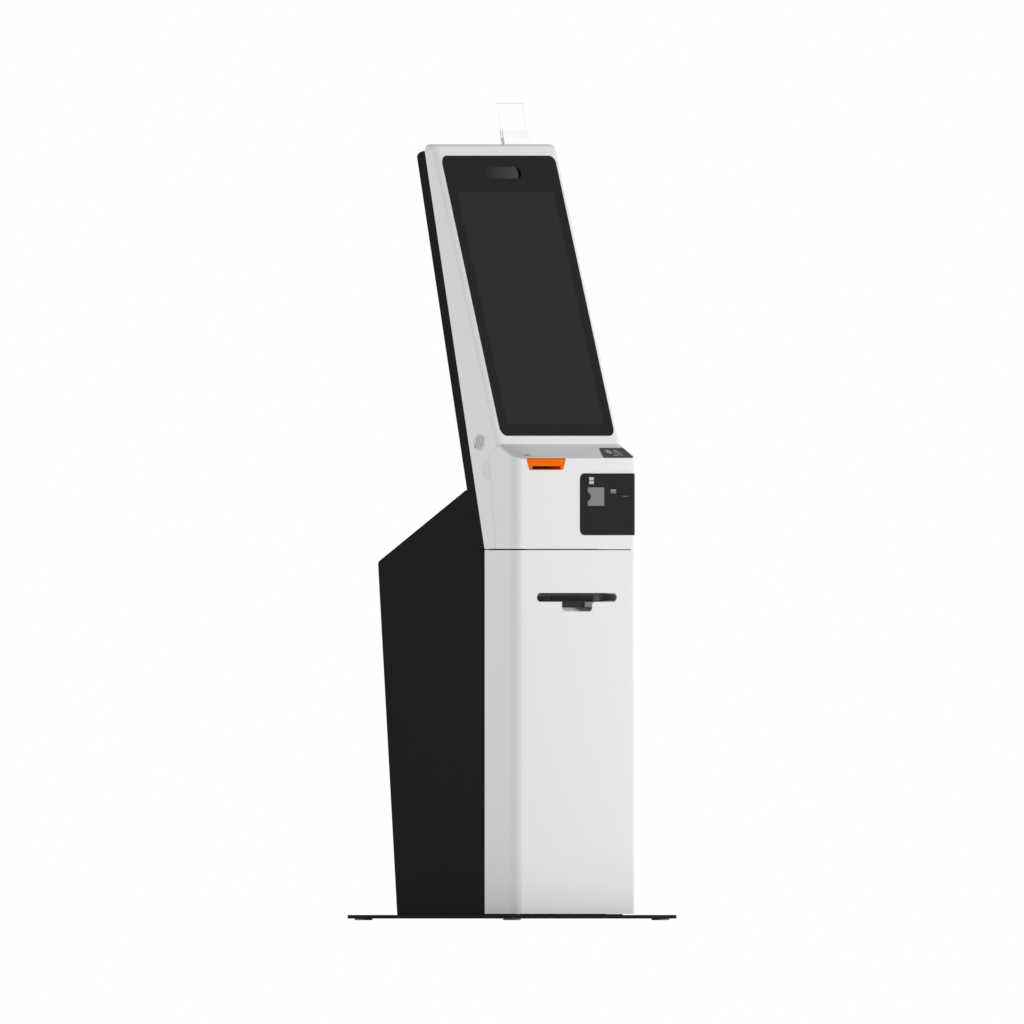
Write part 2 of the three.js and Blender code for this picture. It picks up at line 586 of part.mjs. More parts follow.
// ---- Side fittings of the head: speakers, their grilles and the access caps ----
function addSideFittings() {
  const at = [SPEAKER.y, SPEAKER.z];
  const slats = [];
  for (let offset = -10; offset <= 10; offset += 5) {
    const reach = Math.sqrt(14.5 ** 2 - offset ** 2);
    const lean = tan(15) * reach;
    const y = SPEAKER.y + offset;
    slats.push(prism('x', [
      new THREE.Vector2(y - lean - 1, SPEAKER.z + reach),
      new THREE.Vector2(y + lean - 1, SPEAKER.z - reach),
      new THREE.Vector2(y + lean + 1, SPEAKER.z - reach),
      new THREE.Vector2(y - lean + 1, SPEAKER.z + reach),
    ], [-200, 200]));
  }
  const capZone = prism('x', headOutline, [-200, 200]);
  for (const [name, hand] of [['left', -1], ['right', 1]]) {
    const span = (near, far) => (hand > 0 ? [near, far] : [-far, -near]);
    piece(`${name}_speaker`, rod('x', at, 16, span(165, 187)), DARK_PLASTIC);
    const grille = rod('x', at, SPEAKER.radius, span(188.6, HALF + 0.2));
    piece(`${name}_speaker_grille`, cut(grille, ...slats), GREY_PLASTIC);
    const cap = rod('x', [ACCESS_CAP.y, ACCESS_CAP.z], ACCESS_CAP.radius, span(187.5, HALF));
    piece(`${name}_access_cap`, common(cap, capZone), WHITE);
  }
}

// ---- Console: cover with the sloping shelf, scanner, card terminal and contactless pad ----
function addConsole() {
  const shelfPlacing = new THREE.Matrix4()
    .makeTranslation(0, FRONT, SHELF_FRONT_HEIGHT)
    .multiply(new THREE.Matrix4().makeRotationX(rad(SHELF_SLOPE)));
  const roundedShelf = (inset) => prism('y', outline([
    [inset - HALF, -400], [HALF - inset, -400],
    [HALF - inset, -inset, SHELF_ROUND - inset], [inset - HALF, -inset, SHELF_ROUND - inset],
  ]), [-300, 300], shelfPlacing);
  const profile = outline([
    [FRONT, HEAD_BOTTOM],
    [FRONT, SHELF_FRONT_HEIGHT, 2.5],
    [SHELF_REAR[0] - 0.3, shelfZ(SHELF_REAR[0] - 0.3)],
    [seamCorner[0] - 0.4, seamCorner[1] - 0.1, seamRadius],
    [seamFoot - 0.4, HEAD_BOTTOM],
  ]);
  const under = WALL / Math.cos(rad(SHELF_SLOPE));
  const inside = outline([
    [FRONT + WALL, HEAD_BOTTOM + WALL],
    [FRONT + WALL, shelfZ(FRONT + WALL) - under],
    [-90, shelfZ(-90) - under],
    [-90, HEAD_BOTTOM + WALL],
  ]);
  const bezelOutline = (grow) => outline([
    [SCANNER.x - SCANNER.top - grow, SCANNER.z[1]],
    [SCANNER.x - SCANNER.bottom - grow, SCANNER.z[0] - grow, 3],
    [SCANNER.x + SCANNER.bottom + grow, SCANNER.z[0] - grow, 3],
    [SCANNER.x + SCANNER.top + grow, SCANNER.z[1]],
  ]);
  const cover = cut(
    common(
      prism('x', profile, [-HALF, HALF]),
      prism('z', bodySection(0, 0), [HEAD_BOTTOM, 1100]),
      roundedShelf(0),
    ),
    common(
      prism('x', inside, [WALL - HALF, HALF - WALL]),
      prism('z', bodySection(WALL, 0), [HEAD_BOTTOM, 1100]),
      roundedShelf(WALL),
    ),
    prism('y', bezelOutline(GAP), [FRONT - 2, FRONT + WALL]),
    box([25, 166], [FRONT - 1, FRONT + WALL + 1], [865, 965]),
  );
  piece('console_cover', cover, WHITE);

  const proud = 1.2;
  const bezelProfile = outline([
    [FRONT - proud, 980], [FRONT - proud, SCANNER.brow],
    [FRONT + WALL - GAP, shelfZ(FRONT + WALL - GAP) - 0.6], [FRONT + WALL - GAP, 980],
  ]);
  const bezel = cut(
    join(
      common(prism('y', bezelOutline(0), [FRONT - 5, FRONT + 5]), prism('x', bezelProfile, [-180, 0])),
      box([-146, -45], [FRONT + WALL - GAP - 0.1, -190], [990.7, 1013]),
    ),
    box(SCAN_SLOT.x, [FRONT - 5, -180], SCAN_SLOT.z),
  );
  piece('scanner_bezel', bezel, ORANGE);
  piece('scanner_window', box([-141, -51], [-189.7, -187.7], [988, 1003]), GLOSS_BLACK);
  piece('scanner_module', box([-135, -57], [-187.4, -150], [975, 1010]), DARK_PLASTIC);

  addContactlessPad();
  addPayment();
}

function addContactlessPad() {
  const shelf = group(0, FRONT, SHELF_FRONT_HEIGHT, rad(SHELF_SLOPE));
  const pad = outline([[84.5, 1, 2], [176.5, 1.6, 3], [180, 43, 5], [107, 43, 5]]);
  piece('contactless_pad', prism('z', pad, [GAP, 1.6]), GLOSS_BLACK, shelf);
}

function addPayment() {
  const { left, side_end: sideEnd, bottom, top, proud } = PAYMENT;
  const [z0, z1] = CARD_WINDOW.z;
  const middle = (z0 + z1) / 2;
  const thumb = (grow) => rod('y', [CARD_WINDOW.x[0], middle], CARD_WINDOW.notch + grow, [-210, -190]);
  const panel = cut(
    common(
      cut(
        prism('z', bodySection(-proud, -100), [bottom, top]),
        prism('z', bodySection(-GAP, -90), [bottom - 1, top + 1]),
      ),
      prism('y', roundedRectangle([left, 260], [bottom, top], 13), [-300, 0]),
      prism('x', roundedRectangle([-300, sideEnd], [bottom, top], 13), [0, 300]),
    ),
    cut(box(CARD_WINDOW.x, [-210, -190], CARD_WINDOW.z), thumb(0)),
    box(CARD_SLOT.x, [-210, -190], CARD_SLOT.z),
  );
  piece('payment_panel', panel, GLOSS_BLACK);
  const pane = box(
    [CARD_WINDOW.x[0] + GAP, CARD_WINDOW.x[1] - GAP], [FRONT - 1.3, FRONT + 0.1], [z0 + GAP, z1 - GAP]);
  piece('card_window', cut(pane, thumb(GAP)), GREY_PLASTIC);
  const module = cut(
    box([27, 164], [FRONT + 0.4, -130], [868, 962]),
    box(CARD_SLOT.x, [FRONT - 1, FRONT + 60], CARD_SLOT.z),
  );
  piece('payment_module', module, DARK_PLASTIC);
}

// ---- Sign: clear plate in a slim clip that stands on the back shell ----
function addSign() {
  const lean = tan(BACK_TILT);
  const slab = (near, far, z0, z1) => {
    const base = partingY(BACK_TOP);
    const at = (offset, z) => new THREE.Vector2(base + offset + lean * (z - BACK_TOP), z);
    return [at(near, z0), at(far, z0), at(far, z1), at(near, z1)];
  };
  const plateNear = 2.4;
  const plateFar = plateNear + SIGN.thick;
  const clip = cut(
    prism('x', slab(0.8, 9, BACK_TOP + GAP, 1738), [SIGN.x[0] - 1, SIGN.x[1] + 1]),
    prism('x', slab(plateNear - GAP, plateFar + GAP, 1722, 1740), [0, 200]),
  );
  piece('sign_clip', clip, WHITE);
  piece('sign_plate', prism('x', slab(plateNear, plateFar, 1722.3, SIGN.top), SIGN.x), CLEAR);
}

addBase();
addCabinet();
addRear();
addDoor();
addPrinter();
addHeadShells();
addScreen();
addSideFittings();
addConsole();
addSign();

export default machine;
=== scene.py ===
"""Looks of a ticket vending machine: refined shells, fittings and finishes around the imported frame."""

import json
import math

import bmesh
import bpy
from mathutils import Matrix, Vector

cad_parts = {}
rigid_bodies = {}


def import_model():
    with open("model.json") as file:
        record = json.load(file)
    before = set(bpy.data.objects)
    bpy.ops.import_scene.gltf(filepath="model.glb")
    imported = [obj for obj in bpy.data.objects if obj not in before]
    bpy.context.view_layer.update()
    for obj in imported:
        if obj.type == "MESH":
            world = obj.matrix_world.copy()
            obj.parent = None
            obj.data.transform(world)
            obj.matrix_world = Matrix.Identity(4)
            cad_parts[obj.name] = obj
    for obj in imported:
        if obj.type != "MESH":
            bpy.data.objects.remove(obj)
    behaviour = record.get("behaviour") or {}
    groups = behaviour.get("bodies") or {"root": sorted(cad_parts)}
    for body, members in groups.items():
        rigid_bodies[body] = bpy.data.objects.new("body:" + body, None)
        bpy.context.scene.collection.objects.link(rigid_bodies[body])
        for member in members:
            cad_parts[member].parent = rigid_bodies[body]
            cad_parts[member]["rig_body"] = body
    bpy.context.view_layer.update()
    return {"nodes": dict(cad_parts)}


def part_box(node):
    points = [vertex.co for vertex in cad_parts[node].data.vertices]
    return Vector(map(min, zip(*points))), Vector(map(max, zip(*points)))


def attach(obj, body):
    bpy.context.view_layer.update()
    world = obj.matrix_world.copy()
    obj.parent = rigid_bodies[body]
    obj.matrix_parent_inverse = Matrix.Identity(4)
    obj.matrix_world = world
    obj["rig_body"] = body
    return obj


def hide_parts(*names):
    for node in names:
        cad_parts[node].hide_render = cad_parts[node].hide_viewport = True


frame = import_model()

bl_info = {
    "name": "Ticket machine looks",
    "version": (1, 0, 0),
    "blender": (4, 5, 0),
    "location": "3D View > Sidebar > Ticket machine",
    "description": "Builds the visible pieces and finishes of a ticket vending machine",
    "category": "Object",
}

SCREEN_TILT = math.radians(17)
SHELF_SLOPE = math.radians(30)
REAR_LEAN = math.radians(4.418)
PAD_FOOT = 0.001  # the pad's lower edge up the shelf
PAD_LIFT = 0.0003  # the pad's underside off the shelf
PAD_TOP = 0.0016  # the pad's face off the shelf
OUTLET_WALL = 0.002  # behind the outlet's recess
FIT_GAP = 0.0001  # between a strip or flap and what it lies against
GLASS_THICKNESS = 0.004
DISPLAY_WIDTH = 0.299
DISPLAY_HEIGHT = 0.5314
DISPLAY_RISE = -0.0282  # the display's middle, up the glass from the glass's own


# ---- Settings that a user may change ----
class TICKET_PG_colours(bpy.types.PropertyGroup):
    """Base colours of the finishes, linear."""

    white: bpy.props.FloatVectorProperty(
        name="White", description="White shells", subtype="COLOR", size=3, default=(0.83, 0.835, 0.84))
    black: bpy.props.FloatVectorProperty(
        name="Black", description="Black powder coat", subtype="COLOR", size=3,
        default=(0.0115, 0.0115, 0.012))
    orange: bpy.props.FloatVectorProperty(
        name="Orange", description="Scanner bezel", subtype="COLOR", size=3, default=(0.89, 0.155, 0.003))
    glass: bpy.props.FloatVectorProperty(
        name="Glass", description="Printed border of the glass", subtype="COLOR", size=3,
        default=(0.006, 0.006, 0.006))
    display: bpy.props.FloatVectorProperty(
        name="Display", description="Unlit display", subtype="COLOR", size=3,
        default=(0.0148, 0.0143, 0.0138))


class TICKET_PG_sizes(bpy.types.PropertyGroup):
    """Small sizes of the looks."""

    sheet_edge: bpy.props.FloatProperty(
        name="Sheet edge", description="Rounding of sheet metal edges", subtype="DISTANCE", default=0.0005)
    inlay: bpy.props.FloatProperty(
        name="Inlay", description="Thickness of printed pictograms", subtype="DISTANCE", default=0.0002)
    view_width: bpy.props.FloatProperty(
        name="View width", description="Width of the camera's view", subtype="DISTANCE", default=2.2528)
    view_height: bpy.props.FloatProperty(
        name="View height", description="Height of the camera", subtype="DISTANCE", default=0.898)


def colours():
    return bpy.context.scene.ticket_colours


def sizes():
    return bpy.context.scene.ticket_sizes


# ---- Shader expressions ----
class Value:
    """A shader socket that adds Math nodes when it is used in an expression."""

    def __init__(self, graph, socket):
        self.graph = graph
        self.socket = socket

    def math(self, operation, *others, swap=False):
        operands = [self, *others]
        if swap:
            operands.reverse()
        inputs = dict(enumerate(operands))
        return self.graph.node("ShaderNodeMath", {"operation": operation}, inputs)

    def __add__(self, other):
        return self.math("ADD", other)

    __radd__ = __add__

    def __sub__(self, other):
        return self.math("SUBTRACT", other)

    def __rsub__(self, other):
        return self.math("SUBTRACT", other, swap=True)

    def __mul__(self, other):
        return self.math("MULTIPLY", other)

    __rmul__ = __mul__

    def __truediv__(self, other):
        return self.math("DIVIDE", other)

    def abs(self):
        return self.math("ABSOLUTE")

    def below(self, limit):
        return self.math("LESS_THAN", limit)

    def above(self, limit):
        return self.math("GREATER_THAN", limit)

    def clamp(self):
        return self.math("MINIMUM", 1.0).math("MAXIMUM", 0.0)


class Graph:
    """One material's node tree."""

    def __init__(self, name):
        self.material = bpy.data.materials.new(name)
        self.material.use_nodes = True
        self.tree = self.material.node_tree
        self.shader = self.tree.nodes["Principled BSDF"]
        self.place = self.node("ShaderNodeTexCoord", {}, {}, "Object")

    def node(self, kind, settings, inputs, output=0):
        made = self.tree.nodes.new(kind)
        for key, value in settings.items():
            setattr(made, key, value)
        for key, value in inputs.items():
            self.feed(made.inputs[key], value)
        return Value(self, made.outputs[output])

    def feed(self, socket, value):
        if isinstance(value, Value):
            self.tree.links.new(value.socket, socket)
        else:
            socket.default_value = value

    def set(self, **values):
        for key, value in values.items():
            name = key.replace("_", " ")
            if isinstance(value, (tuple, Vector)) and len(value) == 3 and name != "Normal":
                value = (*value, 1.0)
            self.feed(self.shader.inputs[name], value)
        return self

    def noise(self, scale, detail=2.0, place=None):
        return self.node(
            "ShaderNodeTexNoise", {},
            {"Vector": place or self.place, "Scale": scale, "Detail": detail}, "Fac")

    def streaks(self, scale, level):
        """Faint rubs: noise drawn out along one way and cut off below a level."""
        drawn = self.node("ShaderNodeMapping", {}, {"Vector": self.place, "Scale": (0.25, 0.25, 1.0)})
        return ((self.noise(scale, 5, drawn) - level) * 8.0).clamp()

    def axes(self, place=None):
        split = self.node("ShaderNodeSeparateXYZ", {}, {0: place or self.place})
        node = split.socket.node
        return [Value(self, output) for output in node.outputs]

    def mapped(self, centre=(0, 0, 0), turn=(0, 0, 0)):
        """Object coordinates seen from a centre, turned: a point less the centre, then turned back."""
        moved = self.node(
            "ShaderNodeVectorMath", {"operation": "SUBTRACT"}, {0: self.place, 1: tuple(centre)})
        return self.node("ShaderNodeMapping", {}, {"Vector": moved, "Rotation": tuple(turn)})

    def tint(self, factor, first, second):
        made = self.tree.nodes.new("ShaderNodeMix")
        made.data_type = "RGBA"
        for index, value in ((0, factor), (6, first), (7, second)):
            if isinstance(value, (tuple, list, Vector)):
                value = (*value[:3], 1.0)
            self.feed(made.inputs[index], value)
        return Value(self, made.outputs[2])

    def bump(self, height, strength, distance=0.001):
        bumped = self.node(
            "ShaderNodeBump", {}, {"Strength": strength, "Distance": distance, "Height": height})
        return self.set(Normal=bumped)


def shade(colour, factor):
    return tuple(c * factor for c in colour)


# ---- Finishes ----
FINISHES = {}


def finish(name):
    """Each finish is made once and shared by its pieces."""

    def keep(build):
        def get():
            if name not in FINISHES:
                graph = Graph(name)
                build(graph)
                FINISHES[name] = graph.material
            return FINISHES[name]
        return get
    return keep


def satin(g, painted_shade=0.0):
    """White moulding or paint, with painted shade greying it where the mask says."""
    white = tuple(colours().white)
    cloud = g.noise(2.2, 3)
    grain = g.noise(420, 2)
    tone = g.tint(cloud, shade(white, 0.985), shade(white, 1.01))
    height = g.axes()[2]
    dust = (1.0 - height / 0.16).clamp() * (0.35 + 0.3 * g.noise(30, 4))
    scuff = g.streaks(40, 0.72)
    # painted shade: the white is mixed towards a darker grey where the mask says
    tone = g.tint(painted_shade, tone, shade(white, 0.72))
    g.set(Base_Color=g.tint(dust * 0.5 + scuff * 0.06, tone, shade(white, 0.82)))
    g.set(Roughness=0.42 + grain * 0.1 + dust * 0.2 + scuff * 0.1, Specular_IOR_Level=0.3)
    g.bump(g.noise(900, 2) + 0.4 * grain, 0.05, 0.0004)


@finish("white_satin")
def white_satin(g):
    satin(g)


@finish("console_satin")
def console_satin(g):
    """The sloping shelf carries painted shade: a little greyer than the rest, most at its left end."""
    x, _, off = g.axes(g.mapped(shelf_matrix().translation, (-SHELF_SLOPE, 0, 0)))
    # painted shade on the shelf's face, stronger towards its left end
    face_depth, grey, left_end_shade = 0.003, 0.35, 0.6
    flat = (1.0 - off.abs() / face_depth).clamp()
    left = ((-0.1 - x) / 0.07).clamp()
    satin(g, flat * (grey + left * left_end_shade))


@finish("black_powder_coat")
def black_powder_coat(g):
    black = tuple(colours().black)
    grit = g.noise(1500, 2)
    patch = g.noise(3, 4)
    height = g.axes()[2]
    dust = (1.0 - height / 0.1).clamp() * g.noise(24, 5)
    tone = g.tint(patch, shade(black, 0.85), shade(black, 1.25))
    scuff = g.streaks(30, 0.74)
    g.set(Base_Color=g.tint(dust * 0.35 + scuff * 0.1, tone, (0.02, 0.0195, 0.019)))
    g.set(Roughness=0.5 + grit * 0.14 + patch * 0.06 - scuff * 0.1, Specular_IOR_Level=0.12)
    g.bump(grit + 0.5 * g.noise(500, 2), 0.12, 0.0003)


@finish("zinc_plate")
def zinc_plate(g):
    cell = g.node("ShaderNodeTexVoronoi", {}, {"Vector": g.place, "Scale": 90.0}, "Color")
    tone = g.tint(0.12, (0.42, 0.43, 0.44), cell)
    smear = g.noise(12, 4)
    g.set(Base_Color=g.tint(smear * 0.4, tone, (0.36, 0.36, 0.35)))
    g.set(Metallic=1.0, Roughness=0.34 + smear * 0.16)
    g.bump(g.noise(600, 2), 0.05, 0.0003)


@finish("polished_chrome")
def polished_chrome(g):
    haze = g.noise(60, 3)
    g.set(Base_Color=g.tint(haze, (0.74, 0.75, 0.76), (0.8, 0.81, 0.82)))
    g.set(Metallic=1.0, Roughness=0.12 + haze * 0.08)


@finish("module_cover")
def module_cover(g):
    brushed = g.mapped()
    stretched = g.node("ShaderNodeMapping", {}, {"Vector": brushed, "Scale": (8.0, 700.0, 700.0)})
    line = g.noise(1.0, 3, stretched)
    g.set(Base_Color=g.tint(line, (0.38, 0.39, 0.4), (0.55, 0.56, 0.57)))
    g.set(Metallic=0.9, Roughness=0.3 + line * 0.2)


def moulded(g, colour, roughness, grain=700, depth=0.08, gloss=0.3):
    cloud = g.noise(5, 3)
    fine = g.noise(grain, 2)
    rub = g.streaks(60, 0.7)
    g.set(Base_Color=g.tint(cloud, shade(colour, 0.93), shade(colour, 1.07)))
    g.set(Roughness=roughness + fine * 0.12 - rub * 0.08, Specular_IOR_Level=gloss)
    g.bump(fine, depth, 0.0003)


@finish("dark_moulding")
def dark_moulding(g):
    moulded(g, (0.016, 0.016, 0.017), 0.42)


@finish("grey_moulding")
def grey_moulding(g):
    moulded(g, (0.5, 0.505, 0.51), 0.4)


@finish("card_pane_grey")
def card_pane_grey(g):
    x, _, z = g.axes()
    band = ((x * 0.5 + z) * 260.0).math("SINE") * 0.5 + 0.5
    haze = g.noise(40, 4)
    g.set(Base_Color=g.tint(band * 0.25 + haze * 0.4, (0.235, 0.24, 0.24), (0.2, 0.205, 0.205)))
    g.set(Roughness=0.3 + haze * 0.15, Specular_IOR_Level=0.25)


@finish("grille_grey")
def grille_grey(g):
    moulded(g, (0.7, 0.705, 0.71), 0.5)


@finish("speaker_cloth")
def speaker_cloth(g):
    _, y, z = g.axes()
    weave = (y * 5200.0).math("SINE") * (z * 5200.0).math("SINE")
    fuzz = g.noise(300, 3)
    g.set(Base_Color=g.tint(weave * 0.3 + fuzz * 0.5, (0.82, 0.825, 0.83), (0.7, 0.705, 0.71)))
    g.set(Roughness=0.85 + fuzz * 0.1, Specular_IOR_Level=0.1)
    g.bump(weave + fuzz, 0.3, 0.0003)


@finish("cap_white")
def cap_white(g):
    moulded(g, shade(colours().white, 0.95), 0.45)


@finish("orange_moulding")
def orange_moulding(g):
    moulded(g, tuple(colours().orange), 0.42, 500, 0.05, 0.07)


@finish("foot_rubber")
def foot_rubber(g):
    moulded(g, (0.4, 0.4, 0.4), 0.6, 300, 0.2)


@finish("seal_foam")
def seal_foam(g):
    moulded(g, (0.16, 0.16, 0.16), 0.8, 500, 0.3)


@finish("roller_rubber")
def roller_rubber(g):
    moulded(g, (0.03, 0.03, 0.03), 0.65, 900, 0.2)


@finish("gloss_black")
def gloss_black(g):
    smear = g.noise(9, 5)
    g.set(Base_Color=g.tint(smear, (0.0155, 0.0155, 0.0155), (0.0185, 0.0185, 0.018)))
    g.set(Roughness=0.26 + smear * 0.12, Specular_IOR_Level=0.14)
    g.bump(g.noise(500, 2), 0.03, 0.0002)


@finish("pad_black")
def pad_black(g):
    smear = g.noise(14, 5)
    g.set(Base_Color=g.tint(smear, (0.043, 0.043, 0.043), (0.052, 0.052, 0.052)))
    g.set(Roughness=0.3 + smear * 0.12, Specular_IOR_Level=0.2)
    g.bump(g.noise(600, 2), 0.04, 0.0002)


@finish("slot_black")
def slot_black(g):
    dust = g.noise(60, 4)
    g.set(Base_Color=g.tint(dust, (0.003, 0.003, 0.003), (0.006, 0.0055, 0.0055)))
    g.set(Roughness=0.4 + dust * 0.2, Specular_IOR_Level=0.1)


@finish("camera_pane")
def camera_pane(g):
    """Dark camera window with painted light, paler towards its right end, and black in its end wall."""
    low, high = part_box("camera_window")
    along = (g.axes()[0] - low.x) / (high.x - low.x)
    haze = g.noise(60, 3)
    wall = along.above(0.93)
    # painted light: the window grows paler towards its right end
    painted_light_pane = g.tint((along * 1.05 + haze * 0.06).clamp(), (0.011, 0.011, 0.012), (0.068, 0.068, 0.07))
    g.set(Base_Color=g.tint(wall, painted_light_pane, (0.01, 0.01, 0.01)))
    g.set(Roughness=0.35 + haze * 0.1, Specular_IOR_Level=0.1)


@finish("cover_glass")
def cover_glass(g):
    """Black printed border with the unlit display showing as a slightly lighter panel."""
    centre, turn = screen_centre(), (SCREEN_TILT - math.pi / 2, 0, 0)
    x, y, _ = g.axes(g.mapped(centre, turn))
    half = (DISPLAY_WIDTH / 2, DISPLAY_HEIGHT / 2)
    inside = x.abs().below(half[0]) * (y - DISPLAY_RISE).abs().below(half[1])
    smear = g.noise(6, 6)
    cells = g.noise(1800, 1)
    display = g.tint(cells, shade(colours().display, 0.9), shade(colours().display, 1.12))
    g.set(Base_Color=g.tint(inside, tuple(colours().glass), display))
    g.set(Roughness=0.06 + smear * 0.06 + inside * 0.16, Specular_IOR_Level=0.36)


@finish("thermal_paper")
def thermal_paper(g):
    _, y, z = g.axes(g.mapped(roll_centre()))
    reach = (y * y + z * z).math("SQRT")
    ring = (reach * 4200.0).math("SINE") * 0.5 + 0.5
    fibre = g.noise(400, 4)
    g.set(Base_Color=g.tint(ring * 0.5 + fibre * 0.3, (0.86, 0.85, 0.82), (0.76, 0.74, 0.69)))
    g.set(Roughness=0.75)
    g.bump(ring + fibre, 0.15, 0.0003)


@finish("clear_acrylic")
def clear_acrylic(g):
    """Nearly invisible but for its cut edges, which carry a grey line of painted shade."""
    x, _, z = g.axes()
    low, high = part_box("sign_plate")
    dust = g.noise(40, 5)
    top_line, side_line = 0.0016, 0.0007
    # painted shade: grey, more opaque lines along the top and side edges
    top_edge_shade = z.above(high.z - top_line)
    side_edge_shade = (x - (low.x + high.x) / 2).abs().above((high.x - low.x) / 2 - side_line)
    g.set(Base_Color=g.tint(dust, (0.5, 0.51, 0.51), (0.56, 0.57, 0.57)), Roughness=0.05 + dust * 0.05)
    g.set(Alpha=(0.006 + dust * 0.012 + top_edge_shade * 0.25 + side_edge_shade * 0.06).clamp(), Specular_IOR_Level=0.1)


@finish("clip_acrylic")
def clip_acrylic(g):
    x = g.axes()[0]
    low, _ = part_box("sign_clip")
    dust = g.noise(40, 5)
    # painted shade: the clip's left end is made nearly opaque grey, standing for its side face in shade
    end = (x - low.x).below(0.0012)
    g.set(Base_Color=g.tint(dust, (0.2, 0.2, 0.2), (0.24, 0.24, 0.24)), Roughness=0.1 + dust * 0.05)
    g.set(Alpha=(0.008 + dust * 0.015 + end * 0.6).clamp(), Specular_IOR_Level=0.1)


@finish("scan_glow")
def scan_glow(g):
    """Dark red scanning window, lit towards its right end."""
    low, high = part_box("scanner_window")
    along = (g.axes()[0] - low.x) / (high.x - low.x)
    glow = ((along - 0.72) / 0.2).clamp()
    speck = g.noise(700, 2)
    g.set(Base_Color=g.tint(speck, (0.003, 0.002, 0.002), (0.006, 0.003, 0.003)))
    g.set(Roughness=0.3 + speck * 0.1)
    g.set(Emission_Color=g.tint(glow, (0.002, 0.001, 0.001), (0.2, 0.002, 0.001)), Emission_Strength=1.0)
    g.set(Specular_IOR_Level=0.1)


@finish("satin_lip")
def satin_lip(g):
    """Lip with a painted reflection: pale, darkening towards its right end, below and round the corner."""
    x, _, z = g.axes()
    low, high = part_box("ticket_lip")
    along = (x - low.x) / (high.x - low.x)
    haze = g.noise(50, 4)
    under_part = 0.0095
    shelf = (z - low.z).below(under_part)
    # painted reflection: pale on the left, dark towards the right end, along the lower part and round the
    # corner
    painted_light_fade = shelf * ((along - 0.42) / 0.22).clamp() + (1.0 - shelf) * ((along - 0.84) / 0.14).clamp()
    painted_reflection = g.tint(haze, (0.86, 0.865, 0.87), (0.94, 0.945, 0.95))
    g.set(Base_Color=g.tint(painted_light_fade.clamp(), painted_reflection, (0.16, 0.16, 0.165)))
    g.set(Metallic=0.15, Roughness=0.26 + haze * 0.1, Specular_IOR_Level=0.5)


@finish("outlet_black")
def outlet_black(g):
    """Gloss recess with painted light: a paler step along its upper inner wall and a paler right end."""
    x, _, z = g.axes()
    low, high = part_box("outlet_bezel")
    smear = g.noise(20, 4)
    step_top, step_foot, left_part, right_part, painted_light_fade = 0.0026, 0.0062, 0.05, 0.042, 0.02
    # painted light: a paler band along the upper inner wall, more so at the left
    painted_light_roof = (high.z - z).below(step_foot) * (high.z - z).above(step_top)
    left = (x - low.x).below(left_part)
    # painted light: the right end's inner wall made paler
    right = ((x - high.x + right_part) / painted_light_fade).clamp()
    tone = g.tint(painted_light_roof * (0.45 + left * 0.4 + smear * 0.2), (0.021, 0.021, 0.021), (0.2, 0.2, 0.2))
    g.set(Base_Color=g.tint(right * 0.5, tone, (0.7, 0.7, 0.7)))
    g.set(Roughness=0.26 + smear * 0.12, Specular_IOR_Level=0.3)


@finish("cardboard")
def cardboard(g):
    fibre = g.noise(500, 5)
    g.set(Base_Color=g.tint(fibre, (0.3, 0.2, 0.11), (0.42, 0.3, 0.18)), Roughness=0.85 + fibre * 0.1)
    g.bump(fibre, 0.3, 0.0004)


def printed(name, colour, glow=0.0):
    """A flat print, a small lamp or a painted highlight: the colour with a faint speckle, lit if it glows.
    """
    if name not in FINISHES:
        g = Graph(name)
        speck = g.noise(900, 2)
        g.set(Base_Color=g.tint(speck, shade(colour, 0.9), shade(colour, 1.05)), Roughness=0.5)
        if glow:
            g.set(Emission_Color=g.tint(speck, colour, shade(colour, 0.8)), Emission_Strength=glow)
        FINISHES[name] = g.material
    return FINISHES[name]


# ---- Places read from the frame ----
def screen_centre():
    """Middle of the glass's outer face."""
    low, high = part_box("touch_glass")
    normal = Vector((0, -math.cos(SCREEN_TILT), math.sin(SCREEN_TILT)))
    return (low + high) / 2 + normal * GLASS_THICKNESS / 2


def roll_centre():
    low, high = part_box("paper_roll")
    return (low + high) / 2


def shelf_matrix():
    """X along the shelf, Y up its slope, Z off its face; origin at the middle of its front edge."""
    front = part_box("console_cover")[0].y
    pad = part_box("contactless_pad")[0]
    height = pad.z - PAD_FOOT * math.sin(SHELF_SLOPE) - PAD_LIFT * math.cos(SHELF_SLOPE)
    return Matrix.Translation((0, front, height)) @ Matrix.Rotation(SHELF_SLOPE, 4, "X")


def rear_matrix():
    """X across, Y out of the rear panel, Z up it; origin at its foot."""
    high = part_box("rear_panel")[1]
    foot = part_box("base_plate")[1].z
    out = high.y - (high.z - foot) * math.tan(REAR_LEAN)
    return Matrix.Translation((0, out, foot)) @ Matrix.Rotation(-REAR_LEAN, 4, "X")


# ---- Mesh tools ----
def add_piece(name, bm, body, material, smooth=40):
    """Turns a bmesh into a piece that rides on a body, smooth but for its sharp edges."""
    limit = math.radians(smooth)
    for face in bm.faces:
        face.smooth = True
    for edge in bm.edges:
        edge.smooth = len(edge.link_faces) == 2 and edge.calc_face_angle(0) < limit
    mesh = bpy.data.meshes.new(name)
    bm.to_mesh(mesh)
    bm.free()
    mesh.materials.append(material)
    piece = bpy.data.objects.new(name, mesh)
    bpy.context.scene.collection.objects.link(piece)
    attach(piece, body)
    return piece


def body_of(node):
    return frame["nodes"][node]["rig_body"]


def merged_copy(node):
    bm = bmesh.new()
    bm.from_mesh(frame["nodes"][node].data)
    bmesh.ops.remove_doubles(bm, verts=bm.verts, dist=2e-6)
    bmesh.ops.dissolve_limit(
        bm, angle_limit=math.radians(0.4), verts=bm.verts, edges=bm.edges, use_dissolve_boundaries=False)
    return bm


